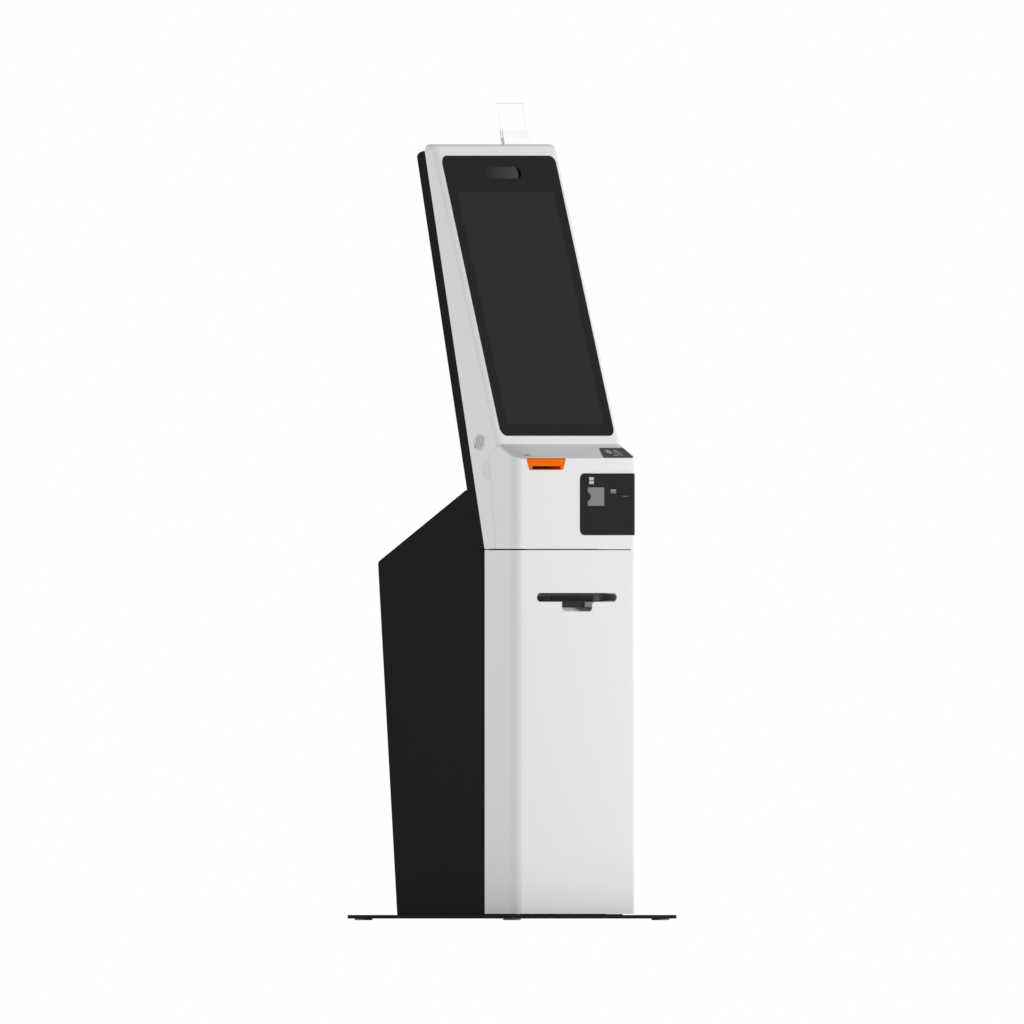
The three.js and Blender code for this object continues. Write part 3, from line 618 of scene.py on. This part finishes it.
def refine(node, material, edge, segments=2, name=None):
    """A finer copy of a CAD node with its sharp edges eased, in place of the node."""
    piece = add_piece(name or f"{node}_fine", merged_copy(node), body_of(node), material, 31)
    ease = piece.modifiers.new("eased edges", "BEVEL")
    ease.width = edge
    ease.segments = segments
    ease.limit_method = "ANGLE"
    ease.angle_limit = math.radians(31)
    ease.harden_normals = True
    ease.use_clamp_overlap = True
    ease.miter_outer = "MITER_SHARP"
    level = piece.modifiers.new("flat faces stay flat", "WEIGHTED_NORMAL")
    level.keep_sharp = True
    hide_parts(node)
    return piece


def bevel_sharp(bm, width, segments=2, angle=35):
    sharp = [e for e in bm.edges if len(e.link_faces) == 2 and e.calc_face_angle(0) > math.radians(angle)]
    bmesh.ops.bevel(
        bm, geom=sharp, offset=width, offset_type="OFFSET", affect="EDGES", segments=segments,
        profile=0.5, material=-1, clamp_overlap=True)


def block(bm, low, high, edge=0.0, segments=2, matrix=None):
    """Adds a box between two corners, its edges rounded, placed by the matrix."""
    low, high = Vector(low), Vector(high)
    part = bmesh.new()
    scale = Matrix.Diagonal((*(high - low), 1.0))
    bmesh.ops.create_cube(part, size=1.0, matrix=Matrix.Translation((low + high) / 2) @ scale)
    if edge:
        bevel_sharp(part, edge, segments)
    add_part(bm, part, matrix)


def turned(bm, profile, sides=48, matrix=None):
    """Spins a profile of (radius, height) points about Z into a closed solid."""
    part = bmesh.new()
    points = [part.verts.new((radius, 0, height)) for radius, height in profile]
    edges = [part.edges.new(pair) for pair in zip(points, points[1:])]
    bmesh.ops.spin(
        part, geom=points + edges, cent=(0, 0, 0), axis=(0, 0, 1), angle=2 * math.pi, steps=sides,
        use_merge=True)
    bmesh.ops.remove_doubles(part, verts=part.verts, dist=1e-7)
    bmesh.ops.recalc_face_normals(part, faces=part.faces)
    add_part(bm, part, matrix)


def slab(bm, outline, depth, edge=0.0, matrix=None):
    """Raises a flat outline of (x, y) points along Z."""
    part = bmesh.new()
    face = part.faces.new([part.verts.new((x, y, 0)) for x, y in outline])
    raised = bmesh.ops.extrude_face_region(part, geom=[face])
    moved = [v for v in raised["geom"] if isinstance(v, bmesh.types.BMVert)]
    bmesh.ops.translate(part, verts=moved, vec=(0, 0, depth))
    bmesh.ops.recalc_face_normals(part, faces=part.faces)
    if edge:
        bevel_sharp(part, edge)
    add_part(bm, part, matrix)


def add_part(bm, part, matrix=None):
    if matrix is not None:
        bmesh.ops.transform(part, matrix=matrix, verts=part.verts)
    scratch = bpy.data.meshes.new("scratch")
    part.to_mesh(scratch)
    part.free()
    bm.from_mesh(scratch)
    bpy.data.meshes.remove(scratch)


def rounded(x0, x1, y0, y1, radius, steps=6):
    """Outline of a rectangle with round corners."""
    centres = ((x1 - radius, y1 - radius, 0), (x0 + radius, y1 - radius, 1),
               (x0 + radius, y0 + radius, 2), (x1 - radius, y0 + radius, 3))
    return [
        (cx + radius * math.cos(a), cy + radius * math.sin(a))
        for cx, cy, quarter in centres
        for a in (math.pi / 2 * (quarter + k / steps) for k in range(steps + 1))
    ]


def arc_band(radius, width, start, end, steps=14):
    """Outline of a flat arc of the given width, its angles in degrees."""
    angles = [math.radians(start + (end - start) * k / steps) for k in range(steps + 1)]
    outer = [(r_cos_sin(radius + width / 2, a)) for a in angles]
    inner = [(r_cos_sin(radius - width / 2, a)) for a in reversed(angles)]
    return outer + inner


def r_cos_sin(radius, angle):
    return radius * math.cos(angle), radius * math.sin(angle)


FRONT_FACING = Matrix.Rotation(math.pi / 2, 4, "X")  # X across, Y up, Z towards the viewer at -Y


def screws(name, places, matrix_of, body, radius=0.0032, head=0.0016):
    """Button-head screws with a hexagon recess, one object."""
    bm = bmesh.new()
    profile = [(0, 0), (radius, 0), (radius * 0.97, head * 0.45), (radius * 0.72, head * 0.85),
               (radius * 0.42, head), (radius * 0.42, head * 0.45), (0, head * 0.4)]
    for place in places:
        turned(bm, profile, 20, matrix_of(place))
    return add_piece(name, bm, body, zinc_plate())


def facing(direction, place):
    """Places a thing made along Z so that it points along the direction."""
    turn = Vector((0, 0, 1)).rotation_difference(Vector(direction)).to_matrix().to_4x4()
    return Matrix.Translation(Vector(place)) @ turn


# ---- Pieces ----
class TICKET_OT_stage(bpy.types.Operator):
    """Floor, soft lights and the camera"""

    bl_idname = "ticket.stage"
    bl_label = "Stage"

    def execute(self, context):
        self.floor()
        self.world(context.scene)
        middle = Vector((0, 0, 0.95))
        for name, place, width, height, power in (
                ("front light", (3.3, -4.55, 1.02), 3.0, 2.1, 198),
                ("side light", (-4.42, 0.7, 1.2), 2.4, 2.6, 66),
                ("right light", (4.5, 0.0, 1.2), 2.4, 2.6, 13)):
            self.light(name, Vector(place), middle, width, height, power)
        camera = bpy.data.cameras.new("camera")
        camera.type = "ORTHO"
        camera.ortho_scale = sizes().view_width
        camera.clip_end = 60
        eye = bpy.data.objects.new("camera", camera)
        reach = 6 * math.sqrt(0.5)
        eye.location = (-reach, -reach, sizes().view_height)
        eye.rotation_euler = (math.pi / 2, 0, -math.pi / 4)
        context.scene.collection.objects.link(eye)
        context.scene.camera = eye
        context.scene.view_settings.view_transform = "Standard"
        return {"FINISHED"}

    def floor(self):
        bm = bmesh.new()
        bmesh.ops.create_grid(bm, x_segments=1, y_segments=1, size=4)
        mesh = bpy.data.meshes.new("floor")
        bm.to_mesh(mesh)
        bm.free()
        g = Graph("pale_floor")
        g.set(Base_Color=g.tint(g.noise(4, 3), (0.76, 0.76, 0.765), (0.8, 0.8, 0.805)), Roughness=0.7)
        mesh.materials.append(g.material)
        plane = bpy.data.objects.new("floor", mesh)
        plane.location.z = -0.0004
        bpy.context.scene.collection.objects.link(plane)

    def world(self, scene):
        world = bpy.data.worlds.new("studio")
        world.use_nodes = True
        scene.world = world
        tree = world.node_tree
        backdrop = tree.nodes["Background"]
        backdrop.inputs["Color"].default_value = (1, 1, 1, 1)
        soft = tree.nodes.new("ShaderNodeBackground")
        soft.inputs["Color"].default_value = (0.97, 0.98, 1, 1)
        soft.inputs["Strength"].default_value = 0.42
        path = tree.nodes.new("ShaderNodeLightPath")
        mix = tree.nodes.new("ShaderNodeMixShader")
        tree.links.new(path.outputs["Is Camera Ray"], mix.inputs[0])
        tree.links.new(soft.outputs[0], mix.inputs[1])
        tree.links.new(backdrop.outputs[0], mix.inputs[2])
        tree.links.new(mix.outputs[0], tree.nodes["World Output"].inputs["Surface"])

    def light(self, name, place, target, width, height, power):
        lamp = bpy.data.lights.new(name, "AREA")
        lamp.shape = "RECTANGLE"
        lamp.size = width
        lamp.size_y = height
        lamp.energy = power
        holder = bpy.data.objects.new(name, lamp)
        holder.location = place
        holder.rotation_euler = (target - place).to_track_quat("-Z", "Y").to_euler()
        holder.visible_glossy = False
        holder.visible_camera = False
        bpy.context.scene.collection.objects.link(holder)


class TICKET_OT_base(bpy.types.Operator):
    """Base plate and the four glide feet"""

    bl_idname = "ticket.base"
    bl_label = "Base"

    def execute(self, context):
        refine("base_plate", black_powder_coat(), 0.0007)
        for row in ("front", "rear"):
            for hand in ("left", "right"):
                node = f"foot_{row}_{hand}"
                low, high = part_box(node)
                centre = Vector(((low.x + high.x) / 2, (low.y + high.y) / 2, low.z))
                radius = (high.x - low.x) / 2
                tall = high.z - low.z
                bm = bmesh.new()
                turned(bm, [
                    (0, 0), (radius - 0.0012, 0), (radius - 0.0003, 0.0004), (radius, 0.0012),
                    (radius, tall * 0.6), (radius - 0.0008, tall * 0.75), (radius - 0.0008, tall),
                    (0, tall),
                ], 64, Matrix.Translation(centre))
                foot = add_piece(f"{node}_glide", bm, body_of(node), foot_rubber())
                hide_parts(node)
        return {"FINISHED"}


class TICKET_OT_cabinet(bpy.types.Operator):
    """Sheet steel cabinet, its frame and its hinge and lock parts"""

    bl_idname = "ticket.cabinet"
    bl_label = "Cabinet"

    def execute(self, context):
        edge = sizes().sheet_edge
        for node in ("left_side_panel", "right_side_panel", "sloped_top_panel", "cabinet_floor",
                     "cabinet_top_plate", "left_corner_post", "right_corner_post", "rear_panel",
                     "rear_service_cover"):
            refine(node, black_powder_coat(), edge)
        for node in ("lower_hinge_pin", "upper_hinge_bracket", "lock_strike"):
            refine(node, zinc_plate(), edge)
        refine("power_supply", module_cover(), 0.001)
        refine("power_inlet", dark_moulding(), 0.0006)
        refine("power_switch", gloss_black(), 0.0008)
        rear = rear_matrix()
        cover_screws = [(x, 0.0018, z) for x in (-0.122, 0.122) for z in (0.259, 0.385, 0.511)]
        panel_screws = [(x, 0, z) for x in (-0.179, 0.179) for z in (0.03, 0.21, 0.39, 0.57, 0.745)]
        screws("rear_screws", cover_screws + panel_screws,
               lambda place: rear @ facing((0, 1, 0), place), "root")
        bm = bmesh.new()
        for x, z in ((-0.132, 0.0565), (-0.118, 0.0565), (-0.125, 0.0625)):
            block(bm, (x - 0.001, -0.0155, z - 0.002), (x + 0.001, -0.004, z + 0.002), 0.0005, 2, rear)
        add_piece("inlet_blades", bm, "root", zinc_plate())
        self.seal()
        return {"FINISHED"}

    def seal(self):
        """Foam strip down the lock side's corner post, parted at the strike."""
        low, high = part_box("right_corner_post")
        strike_low, strike_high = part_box("lock_strike")
        door_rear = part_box("front_door")[1].y
        inset, width, parting, door_gap = 0.004, 0.004, 0.001, 0.0003
        side = high.x - inset
        bm = bmesh.new()
        below = (low.z + inset, strike_low.z - parting)
        above = (strike_high.z + parting, high.z - inset)
        for foot, head in (below, above):
            block(bm, (side - width, door_rear + door_gap, foot), (side, low.y - FIT_GAP, head), 0.0002)
        add_piece("lock_side_seal", bm, "root", seal_foam())


class TICKET_OT_door(bpy.types.Operator):
    """Front door, the ticket outlet and the cam lock"""

    bl_idname = "ticket.door"
    bl_label = "Door"

    def execute(self, context):
        refine("front_door", white_satin(), 0.0006)
        refine("outlet_bezel", outlet_black(), 0.0005)
        refine("ticket_lip", satin_lip(), 0.0003)
        for node in ("lock_barrel", "lock_cylinder"):
            refine(node, polished_chrome(), 0.0004)
        refine("lock_cam", zinc_plate(), 0.0004)
        self.flap()
        self.seal()
        return {"FINISHED"}

    def flap(self):
        """Soft dust flap hanging in front of the outlet's paper slot."""
        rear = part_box("outlet_bezel")[1].y - OUTLET_WALL - FIT_GAP
        half, thick, foot, head = 0.045, 0.0008, 0.7045, 0.7142
        bm = bmesh.new()
        block(bm, (-half, rear - thick, foot), (half, rear, head), 0.0003)
        add_piece("outlet_flap", bm, body_of("outlet_bezel"), roller_rubber())

    def seal(self):
        """Foam strip on the door's top edge, along the front and round the lock side's corner."""
        low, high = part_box("front_door")
        inset, width, tall, corner = 0.006, 0.003, 0.0024, 0.023
        hinge_end = low.x + 0.04
        centre = Vector((high.x - corner, low.y + corner))
        quarter = [math.radians(-90 + 15 * step) for step in range(7)]

        def bend(radius):
            return [tuple(centre + Vector((math.cos(turn), math.sin(turn))) * radius) for turn in quarter]

        outer, inner = bend(corner - inset), bend(corner - inset - width)
        ends = [(outer[-1][0], high.y - 0.004), (inner[-1][0], high.y - 0.004)]
        strip = [(hinge_end, low.y + inset), *outer, *ends, *reversed(inner),
                 (hinge_end, low.y + inset + width)]
        bm = bmesh.new()
        slab(bm, strip, tall, 0, Matrix.Translation((0, 0, high.z + FIT_GAP)))
        add_piece("door_seal", bm, body_of("front_door"), seal_foam(), 30)


class TICKET_OT_printer(bpy.types.Operator):
    """Ticket printer, its shelf and the paper roll"""

    bl_idname = "ticket.printer"
    bl_label = "Printer"

    def execute(self, context):
        for node, material, edge in (
                ("printer_shelf", zinc_plate(), 0.0005), ("printer_base", dark_moulding(), 0.0012),
                ("print_head", zinc_plate(), 0.0004), ("feed_button", grey_moulding(), 0.0006),
                ("printer_lid", dark_moulding(), 0.0008),
                ("lid_lever", orange_moulding(), 0.0006), ("roll_bracket", zinc_plate(), 0.0005),
                ("roll_spindle", grey_moulding(), 0.0005)):
            refine(node, material, edge)
        self.platen()
        self.roll()
        self.web()
        self.lamps()
        return {"FINISHED"}

    def platen(self):
        low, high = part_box("platen_roller")
        middle = (low + high) / 2
        radius = (high.z - low.z) / 2
        half = high.x
        rubber, shaft = 0.0469, 0.003
        bm = bmesh.new()
        turned(bm, [
            (0, -half), (shaft - 0.0004, -half), (shaft, -half + 0.0004), (shaft, -rubber),
            (radius - 0.0005, -rubber), (radius, -rubber + 0.0005), (radius, rubber - 0.0005),
            (radius - 0.0005, rubber), (shaft, rubber), (shaft, half - 0.0004), (shaft - 0.0004, half),
            (0, half),
        ], 48, facing((1, 0, 0), middle))
        piece = add_piece("platen_turned", bm, body_of("platen_roller"), roller_rubber())
        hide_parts("platen_roller")

    def roll(self):
        low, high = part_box("paper_roll")
        middle = (low + high) / 2
        radius = (high.z - low.z) / 2
        half = high.x
        bore, tube = 0.0129, 0.0145
        for name, material, slot, inner, outer, edge in (
                ("paper_roll_wound", thermal_paper(), "paper", tube, radius, 0.0004),
                ("paper_roll_tube", cardboard(), "paper", bore, tube, 0.0002)):
            bm = bmesh.new()
            turned(bm, [
                (inner, -half), (outer - edge, -half), (outer, -half + edge), (outer, half - edge),
                (outer - edge, half), (inner, half), (inner, -half),
            ], 96, facing((1, 0, 0), middle))
            piece = add_piece(name, bm, body_of("paper_roll"), material)
            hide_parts("paper_roll")

    def web(self):
        """Paper from the roll, under the lid, over the print head and out towards the mouth."""
        _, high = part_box("print_head")
        middle = roll_centre()
        radius = (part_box("paper_roll")[1].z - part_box("paper_roll")[0].z) / 2 + 0.0002
        nip_height = high.z + 0.0002
        bend = Vector((0, -0.030, nip_height + 0.004))
        reach = (middle - bend).yz
        lift = math.atan2(reach.y, reach.x) + math.asin(radius / reach.length)
        run = math.sqrt(reach.length_squared - radius ** 2)
        leave = (bend.y + run * math.cos(lift), bend.z + run * math.sin(lift))
        stations = [(-0.162, nip_height + 0.0008), (-0.118, nip_height + 0.0001)]
        stations += [(-0.1, nip_height + 0.0001)]
        stations += [(bend.y - 0.02, bend.z - 0.0018), (bend.y - 0.005, bend.z - 0.0006)]
        stations += [(bend.y + 0.005, bend.z + 0.0016), leave]
        bm = bmesh.new()
        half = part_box("paper_roll")[1].x - 0.0002
        line = [bm.verts.new((-half, y, z)) for y, z in stations]
        edges = [bm.edges.new(pair) for pair in zip(line, line[1:])]
        raised = bmesh.ops.extrude_edge_only(bm, edges=edges)
        moved = [v for v in raised["geom"] if isinstance(v, bmesh.types.BMVert)]
        bmesh.ops.translate(bm, verts=moved, vec=(2 * half, 0, 0))
        bmesh.ops.recalc_face_normals(bm, faces=bm.faces)
        bmesh.ops.solidify(bm, geom=bm.faces[:], thickness=0.0001)
        add_piece("paper_web", bm, "root", thermal_paper(), 60)

    def lamps(self):
        """Two status lamps beside the feed button."""
        low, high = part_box("feed_button")
        bm = bmesh.new()
        dome = [(0, 0), (0.0019, 0), (0.0019, 0.0004), (0.0016, 0.0009), (0.0009, 0.0013), (0, 0.0014)]
        for offset in (-0.018, -0.026):
            place = ((low.x + high.x) / 2 + offset, -0.135, (low.z + high.z) / 2)
            turned(bm, dome, 24, facing((0, -1, 0), place))
        add_piece("printer_lamps", bm, "root", printed("lamp_green", (0.05, 0.6, 0.12), 0.6))


class TICKET_OT_head(bpy.types.Operator):
    """Head shells, speaker grilles and access caps"""

    bl_idname = "ticket.head"
    bl_label = "Head"

    def execute(self, context):
        refine("head_front_shell", white_satin(), 0.0006)
        refine("head_back_shell", black_powder_coat(), 0.0015, 3)
        for hand in ("left", "right"):
            refine(f"{hand}_speaker_grille", grille_grey(), 0.0004)
            refine(f"{hand}_access_cap", cap_white(), 0.0003)
            refine(f"{hand}_speaker", dark_moulding(), 0.0008)
            self.cloth(hand, 1 if hand == "right" else -1)
        return {"FINISHED"}

    def cloth(self, hand, side):
        """Acoustic cloth held between the grille and the speaker."""
        low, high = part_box(f"{hand}_speaker_grille")
        middle = (low + high) / 2
        inner = min(abs(low.x), abs(high.x))
        radius = (high.z - low.z) / 2 - 0.0012
        bm = bmesh.new()
        turned(bm, [(0, 0), (radius, 0), (radius, 0.0006), (radius - 0.0004, 0.001), (0, 0.001)], 64,
               facing((side, 0, 0), (side * (inner - 0.0012), middle.y, middle.z)))
        add_piece(f"{hand}_speaker_cloth", bm, "root", speaker_cloth())


class TICKET_OT_screen(bpy.types.Operator):
    """Cover glass, display, frame and camera"""

    bl_idname = "ticket.screen"
    bl_label = "Screen"

    def execute(self, context):
        refine("touch_glass", cover_glass(), 0.0005)
        refine("camera_window", camera_pane(), 0.0003)
        refine("camera_module", dark_moulding(), 0.0006)
        refine("lcd_panel", module_cover(), 0.0006)
        refine("screen_frame", zinc_plate(), 0.0005)
        refine("computer_module", module_cover(), 0.001)
        return {"FINISHED"}


class TICKET_OT_console(bpy.types.Operator):
    """Console cover with the scanner, the contactless pad and the payment panel"""

    bl_idname = "ticket.console"
    bl_label = "Console"

    def execute(self, context):
        refine("console_cover", console_satin(), 0.0008)
        refine("scanner_bezel", orange_moulding(), 0.0007)
        refine("scanner_window", scan_glow(), 0.0003)
        refine("scanner_module", dark_moulding(), 0.0008)
        refine("contactless_pad", pad_black(), 0.0004)
        refine("payment_panel", gloss_black(), 0.0004)
        refine("card_window", card_pane_grey(), 0.0003)
        refine("payment_module", slot_black(), 0.0005)
        self.payment_marks()
        self.pad_mark()
        self.scan_mark()
        return {"FINISHED"}

    def payment_marks(self):
        """Two stacked squares over the card window, a card sign over the slot and the slot's lip, a rod and
        lens in flat grey as a painted highlight.
        """
        low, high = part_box("payment_panel")
        face = Matrix.Translation((0, low.y, 0)) @ FRONT_FACING
        ink = sizes().inlay
        bm = bmesh.new()
        left = low.x + 0.0264
        for foot in (high.z - 0.0235, high.z - 0.0152):
            slab(bm, rounded(left + 0.0006, left + 0.015, foot, foot + 0.0068, 0.0004), ink, 0, face)
        add_piece("window_squares", bm, "root", printed("print_light", (0.52, 0.53, 0.53)))

        bm = bmesh.new()
        left = low.x + 0.0947
        foot = high.z - 0.0435
        wide, tall, line = 0.0158, 0.0079, 0.001
        slab(bm, rounded(left, left + wide, foot + tall - 0.0024, foot + tall, 0.0004), ink, 0, face)
        slab(bm, rounded(left, left + wide, foot, foot + line, 0.0003), ink, 0, face)
        for start in (left, left + wide - line):
            slab(bm, rounded(start, start + line, foot, foot + tall, 0.0003), ink * 0.9, 0, face)
        for start in (left + 0.0032, left + 0.0088):
            slab(bm, rounded(start, start + 0.0035, foot + 0.002, foot + 0.0042, 0.0004), ink, 0, face)
        add_piece("card_sign", bm, "root", printed("print_grey", (0.4, 0.41, 0.41)))

        # painted highlight: the slot's chrome lip drawn as a rod and lens in flat grey
        bm = bmesh.new()
        left = low.x + 0.0951
        height = high.z - 0.0498
        block(bm, (left, low.y - 0.0004, height), (left + 0.055, low.y + 0.0004, height + 0.0008), 0.0003)
        bulge = [(0, 0), (0.0007, 0.0012), (0.0011, 0.005), (0.0012, 0.0095), (0.0011, 0.014),
                 (0.0007, 0.0178), (0, 0.019)]
        turned(bm, bulge, 24, facing((1, 0, 0), (left + 0.0353, low.y, height - 0.0009)))
        add_piece("card_slot_lip", bm, "root", printed("painted_highlight_grey", (0.11, 0.112, 0.115)))

    def pad_mark(self):
        """Hand-held card with waves, the usual sign for touchless payment."""
        bm = bmesh.new()
        ink = sizes().inlay
        place = shelf_matrix() @ Matrix.Translation((0.133, 0.0215, PAD_TOP))
        turn = Matrix.Rotation(math.radians(-18), 4, "Z")
        slab(bm, rounded(-0.0215, -0.0065, -0.0085, 0.0075, 0.003), ink, 0, place @ turn)
        slab(bm, rounded(-0.0125, 0.0035, -0.0145, -0.0102, 0.002), ink, 0, place)
        for radius in (0.006, 0.0115, 0.017, 0.0225):
            slab(bm, arc_band(radius, 0.0027, -44, 44), ink, 0, place @ Matrix.Translation((-0.004, 0, 0)))
        add_piece("pad_waves", bm, "root", printed("print_pad", (0.34, 0.345, 0.35)))

    def scan_mark(self):
        """Small bars between corner marks, printed on the shelf beside the scanner."""
        bm = bmesh.new()
        ink = sizes().inlay
        place = shelf_matrix() @ Matrix.Translation((-0.1435, 0.0135, 0))
        bars = ((-0.006, 0.001), (-0.0038, 0.0018), (-0.001, 0.001), (0.0012, 0.0006), (0.003, 0.0022))
        for start, width in bars:
            slab(bm, rounded(start, start + width, -0.0028, 0.0028, 0.0002, 2), ink, 0, place)
        for across in (-1, 1):
            for up in (-1, 1):
                corner = place @ Matrix.Diagonal((across, up, 1, 1))
                slab(bm, rounded(0.0066, 0.0102, 0.0042, 0.005, 0.0003, 2), ink, 0, corner)
                slab(bm, rounded(0.0094, 0.0102, 0.0018, 0.005, 0.0003, 2), ink * 0.9, 0, corner)
        bmesh.ops.recalc_face_normals(bm, faces=bm.faces)
        add_piece("scan_sign", bm, "root", printed("print_dark", (0.17, 0.17, 0.17)))


class TICKET_OT_sign(bpy.types.Operator):
    """Clear sign plate and its clip"""

    bl_idname = "ticket.sign"
    bl_label = "Sign"

    def execute(self, context):
        refine("sign_plate", clear_acrylic(), 0.0003)
        refine("sign_clip", clip_acrylic(), 0.0004)
        return {"FINISHED"}


class TICKET_PT_panel(bpy.types.Panel):
    """Lists the pieces of the machine"""

    bl_idname = "TICKET_PT_panel"
    bl_label = "Ticket machine"
    bl_space_type = "VIEW_3D"
    bl_region_type = "UI"
    bl_category = "Ticket machine"

    def draw(self, context):
        for group in (context.scene.ticket_colours, context.scene.ticket_sizes):
            for key in group.__annotations__:
                self.layout.prop(group, key)
        for operator in OPERATORS:
            self.layout.operator(operator.bl_idname)


OPERATORS = (
    TICKET_OT_stage, TICKET_OT_base, TICKET_OT_cabinet, TICKET_OT_door, TICKET_OT_printer,
    TICKET_OT_head, TICKET_OT_screen, TICKET_OT_console, TICKET_OT_sign,
)
CLASSES = (TICKET_PG_colours, TICKET_PG_sizes, *OPERATORS, TICKET_PT_panel)


def register():
    for item in CLASSES:
        bpy.utils.register_class(item)
    bpy.types.Scene.ticket_colours = bpy.props.PointerProperty(type=TICKET_PG_colours)
    bpy.types.Scene.ticket_sizes = bpy.props.PointerProperty(type=TICKET_PG_sizes)


def unregister():
    del bpy.types.Scene.ticket_sizes
    del bpy.types.Scene.ticket_colours
    for item in reversed(CLASSES):
        bpy.utils.unregister_class(item)


def main():
    register()
    for operator in OPERATORS:
        category, name = operator.bl_idname.split(".")
        getattr(getattr(bpy.ops, category), name)()
    bpy.context.view_layer.update()


if __name__ == "__main__":
    main()
